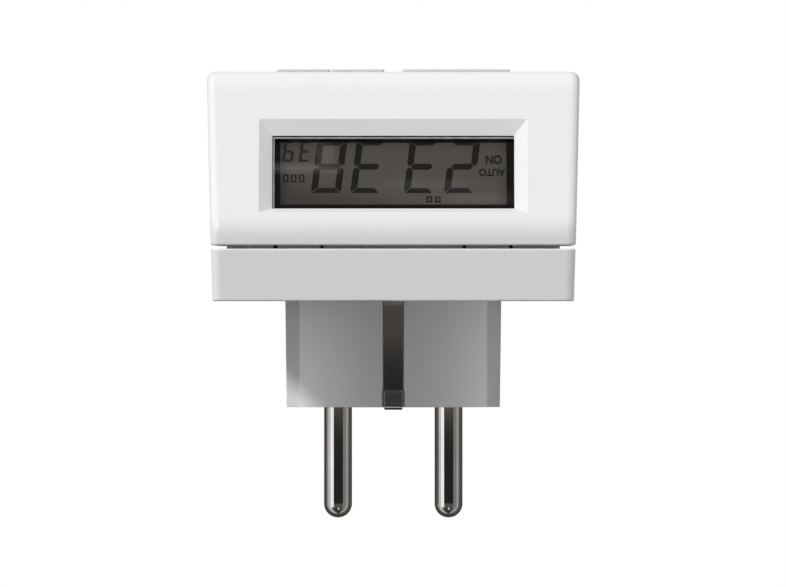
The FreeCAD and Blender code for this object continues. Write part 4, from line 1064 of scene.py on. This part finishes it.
def make_floor(settings):
    """Pale floor that is clear from below."""
    half = 1.5
    level = settings.timer_studio.floor_level
    mesh = bpy.data.meshes.new("floor")
    corners = [(x, y, level) for x, y in rectangle(-half, half, -half, half)]
    mesh.from_pydata(corners, [], [(0, 1, 2, 3)])
    floor = new_object("floor", mesh)
    floor.visible_diffuse = False
    floor.visible_glossy = False
    material, tree, shader = new_finish("floor paint", grey(0.8), 0.8)
    cloud = noise(tree, object_points(tree), 9.0, 3.0)
    tone = colour_between(tree, cloud, grey(0.79), grey(0.81))
    feed(tree, shader, {"Base Color": tone, "Specular IOR Level": 0.1})
    side = add_node(tree, "ShaderNodeNewGeometry").outputs["Backfacing"]
    mix_surfaces(tree, side, shader, add_node(tree, "ShaderNodeBsdfTransparent"))
    mesh.materials.append(material)


def make_key_light(settings):
    """Key light from the upper left of the photograph."""
    light = bpy.data.lights.new("key", "SUN")
    light.energy = settings.timer_studio.key_strength
    light.angle = math.radians(8.0)
    lamp = new_object("key", light)
    towards = Vector((-0.36, -0.48, 0.396))
    lamp.rotation_mode = "QUATERNION"
    lamp.rotation_quaternion = towards.to_track_quat("Z", "Y")
    lamp.location = towards


def make_camera(settings):
    """Camera at the photograph's height, far off with a long lens."""
    lens = settings.timer_studio.lens
    optics = bpy.data.cameras.new("camera")
    optics.lens = lens
    optics.sensor_width = 36.0
    optics.clip_start = 0.1
    optics.clip_end = 20.0
    width = PHOTO_WIDTH_PIXELS / PIXELS_PER_MM * MM
    distance = width * lens / optics.sensor_width
    target = Vector((-0.05, -40.0, 19.5)) * MM
    back = Vector((0, -1, 0))
    camera = new_object("camera", optics)
    camera.location = target + back * distance
    camera.rotation_mode = "QUATERNION"
    camera.rotation_quaternion = (-back).to_track_quat("-Z", "Y")
    bpy.context.scene.camera = camera


def make_stage(settings):
    """World, floor, key light, reflection cards and camera."""
    make_world(settings)
    make_floor(settings)
    make_key_light(settings)
    dark = grey(0.012)
    front_levels = [
        (-55.0, grey(0.085)),
        (-40.0, dark),
        (-8.0, dark),
        (-4.2, (0.04, 0.037, 0.035)),
        (-2.6, (0.1, 0.093, 0.087)),
        (0.4, grey(0.085)),
        (1.1, grey(0.018)),
        (5.0, grey(0.024)),
        (9.6, (0.04, 0.038, 0.037)),
        (17.5, (0.1, 0.092, 0.088)),
        (40.0, (0.06, 0.058, 0.056)),
    ]
    height_bands(*upright_card("front card", -37, 41, dark), front_levels)
    cards = [
        ("left card", -86, -64, (0.59, 0.58, 0.575)),
        ("left outer card", -100, -86, (0.33, 0.32, 0.31)),
        ("left far card", -112, -100, (0.17, 0.16, 0.155)),
        ("right inner card", 41, 66, (0.2, 0.197, 0.193)),
        ("right middle card", 66, 75, (0.25, 0.245, 0.24)),
        ("right bright card", 75, 86, (0.44, 0.43, 0.42)),
        ("right outer card", 86, 98, (0.19, 0.183, 0.178)),
        ("right far card", 98, 125, (0.08, 0.073, 0.068)),
        ("back card", 125, 248, (0.05, 0.043, 0.039)),
    ]
    for name, first, last, colour in cards:
        upright_card(name, first, last, colour)
        low_sector(f"low {name}", first, last, colour)
    low_sector("low front card", -37, 41, grey(0.02))
    strips = [
        ((-17.0, 7.0, 0.8), (-166.4, 0.7, 0.25), 6.3),
        ((-13.0, 1.6, 0.4), (-163.2, 2.2, 1.0), 4.2),
        ((6.6, 8.5, 3.0), (-169.6, 0.8, 0.5), 2.7),
        ((15.5, 6.0, 3.0), (-172.2, 0.9, 0.4), 3.7),
    ]
    over = flat_card("top card", rectangle(-150, 150, -350, 0), 560, (0.08, 0.078, 0.076))
    soft_strips(*over, strips)
    flat_card("low card", rectangle(-500, 500, -500, 500), -360, (0.05, 0.045, 0.04))
    flat_card("low small card", rectangle(-12, 75, -560, -260), -345, (0.8, 0.79, 0.77))
    make_camera(settings)
    bpy.context.scene.view_settings.view_transform = "Standard"


def paint_nodes(settings):
    """Gives every CAD node the finish of its slot."""
    finishes = make_finishes(settings)
    for row in frame["record"]["subparts"]:
        mesh = frame["nodes"][row["node"]].data
        mesh.materials.clear()
        mesh.materials.append(finishes[row["material_slot"]])


class TIMER_OT_finishes(bpy.types.Operator):
    """Give every part of the frame its finish"""

    bl_idname = "timer.finishes"
    bl_label = "Finishes"

    def execute(self, context):
        paint_nodes(context.scene)
        return {"FINISHED"}


class TIMER_OT_display(bpy.types.Operator):
    """Make the display's digits, words, marks and mask"""

    bl_idname = "timer.display"
    bl_label = "Display"

    def execute(self, context):
        make_digits(context.scene)
        make_words()
        make_mask()
        return {"FINISHED"}


class TIMER_OT_earth_strips(bpy.types.Operator):
    """Make the bent earth strips"""

    bl_idname = "timer.earth_strips"
    bl_label = "Earth strips"

    def execute(self, context):
        make_earth_strips()
        return {"FINISHED"}


class TIMER_OT_screws(bpy.types.Operator):
    """Make the threaded screws"""

    bl_idname = "timer.screws"
    bl_label = "Screws"

    def execute(self, context):
        make_screws(context.scene)
        return {"FINISHED"}


class TIMER_OT_relay(bpy.types.Operator):
    """Make the relay's wire turns"""

    bl_idname = "timer.relay"
    bl_label = "Relay winding"

    def execute(self, context):
        make_winding(context.scene)
        return {"FINISHED"}


class TIMER_OT_stage(bpy.types.Operator):
    """Make the floor, the light and the camera"""

    bl_idname = "timer.stage"
    bl_label = "Stage"

    def execute(self, context):
        make_stage(context.scene)
        return {"FINISHED"}


OPERATORS = (
    TIMER_OT_finishes,
    TIMER_OT_display,
    TIMER_OT_earth_strips,
    TIMER_OT_screws,
    TIMER_OT_relay,
    TIMER_OT_stage,
)


class TIMER_PT_panel(bpy.types.Panel):
    """Sizes, colours and steps of the timer"""

    bl_label = "Plug-in timer"
    bl_space_type = "VIEW_3D"
    bl_region_type = "UI"
    bl_category = "Plug-in timer"

    def draw(self, context):
        for name in SETTINGS:
            group = getattr(context.scene, name)
            box = self.layout.box()
            for label in group.__annotations__:
                box.prop(group, label)
        for operator in OPERATORS:
            self.layout.operator(operator.bl_idname)


CLASSES = (*SETTINGS.values(), *OPERATORS, TIMER_PT_panel)


def register():
    """Registers the classes and hangs the settings on the scene."""
    for kind in CLASSES:
        bpy.utils.register_class(kind)
    for name, group in SETTINGS.items():
        setattr(bpy.types.Scene, name, PointerProperty(type=group))


def unregister():
    """Takes the settings and the classes away again."""
    for name in SETTINGS:
        delattr(bpy.types.Scene, name)
    for kind in reversed(CLASSES):
        bpy.utils.unregister_class(kind)


def main():
    """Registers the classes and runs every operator."""
    register()
    bpy.ops.timer.finishes()
    bpy.ops.timer.display()
    bpy.ops.timer.earth_strips()
    bpy.ops.timer.screws()
    bpy.ops.timer.relay()
    bpy.ops.timer.stage()


if __name__ == "__main__":
    main()
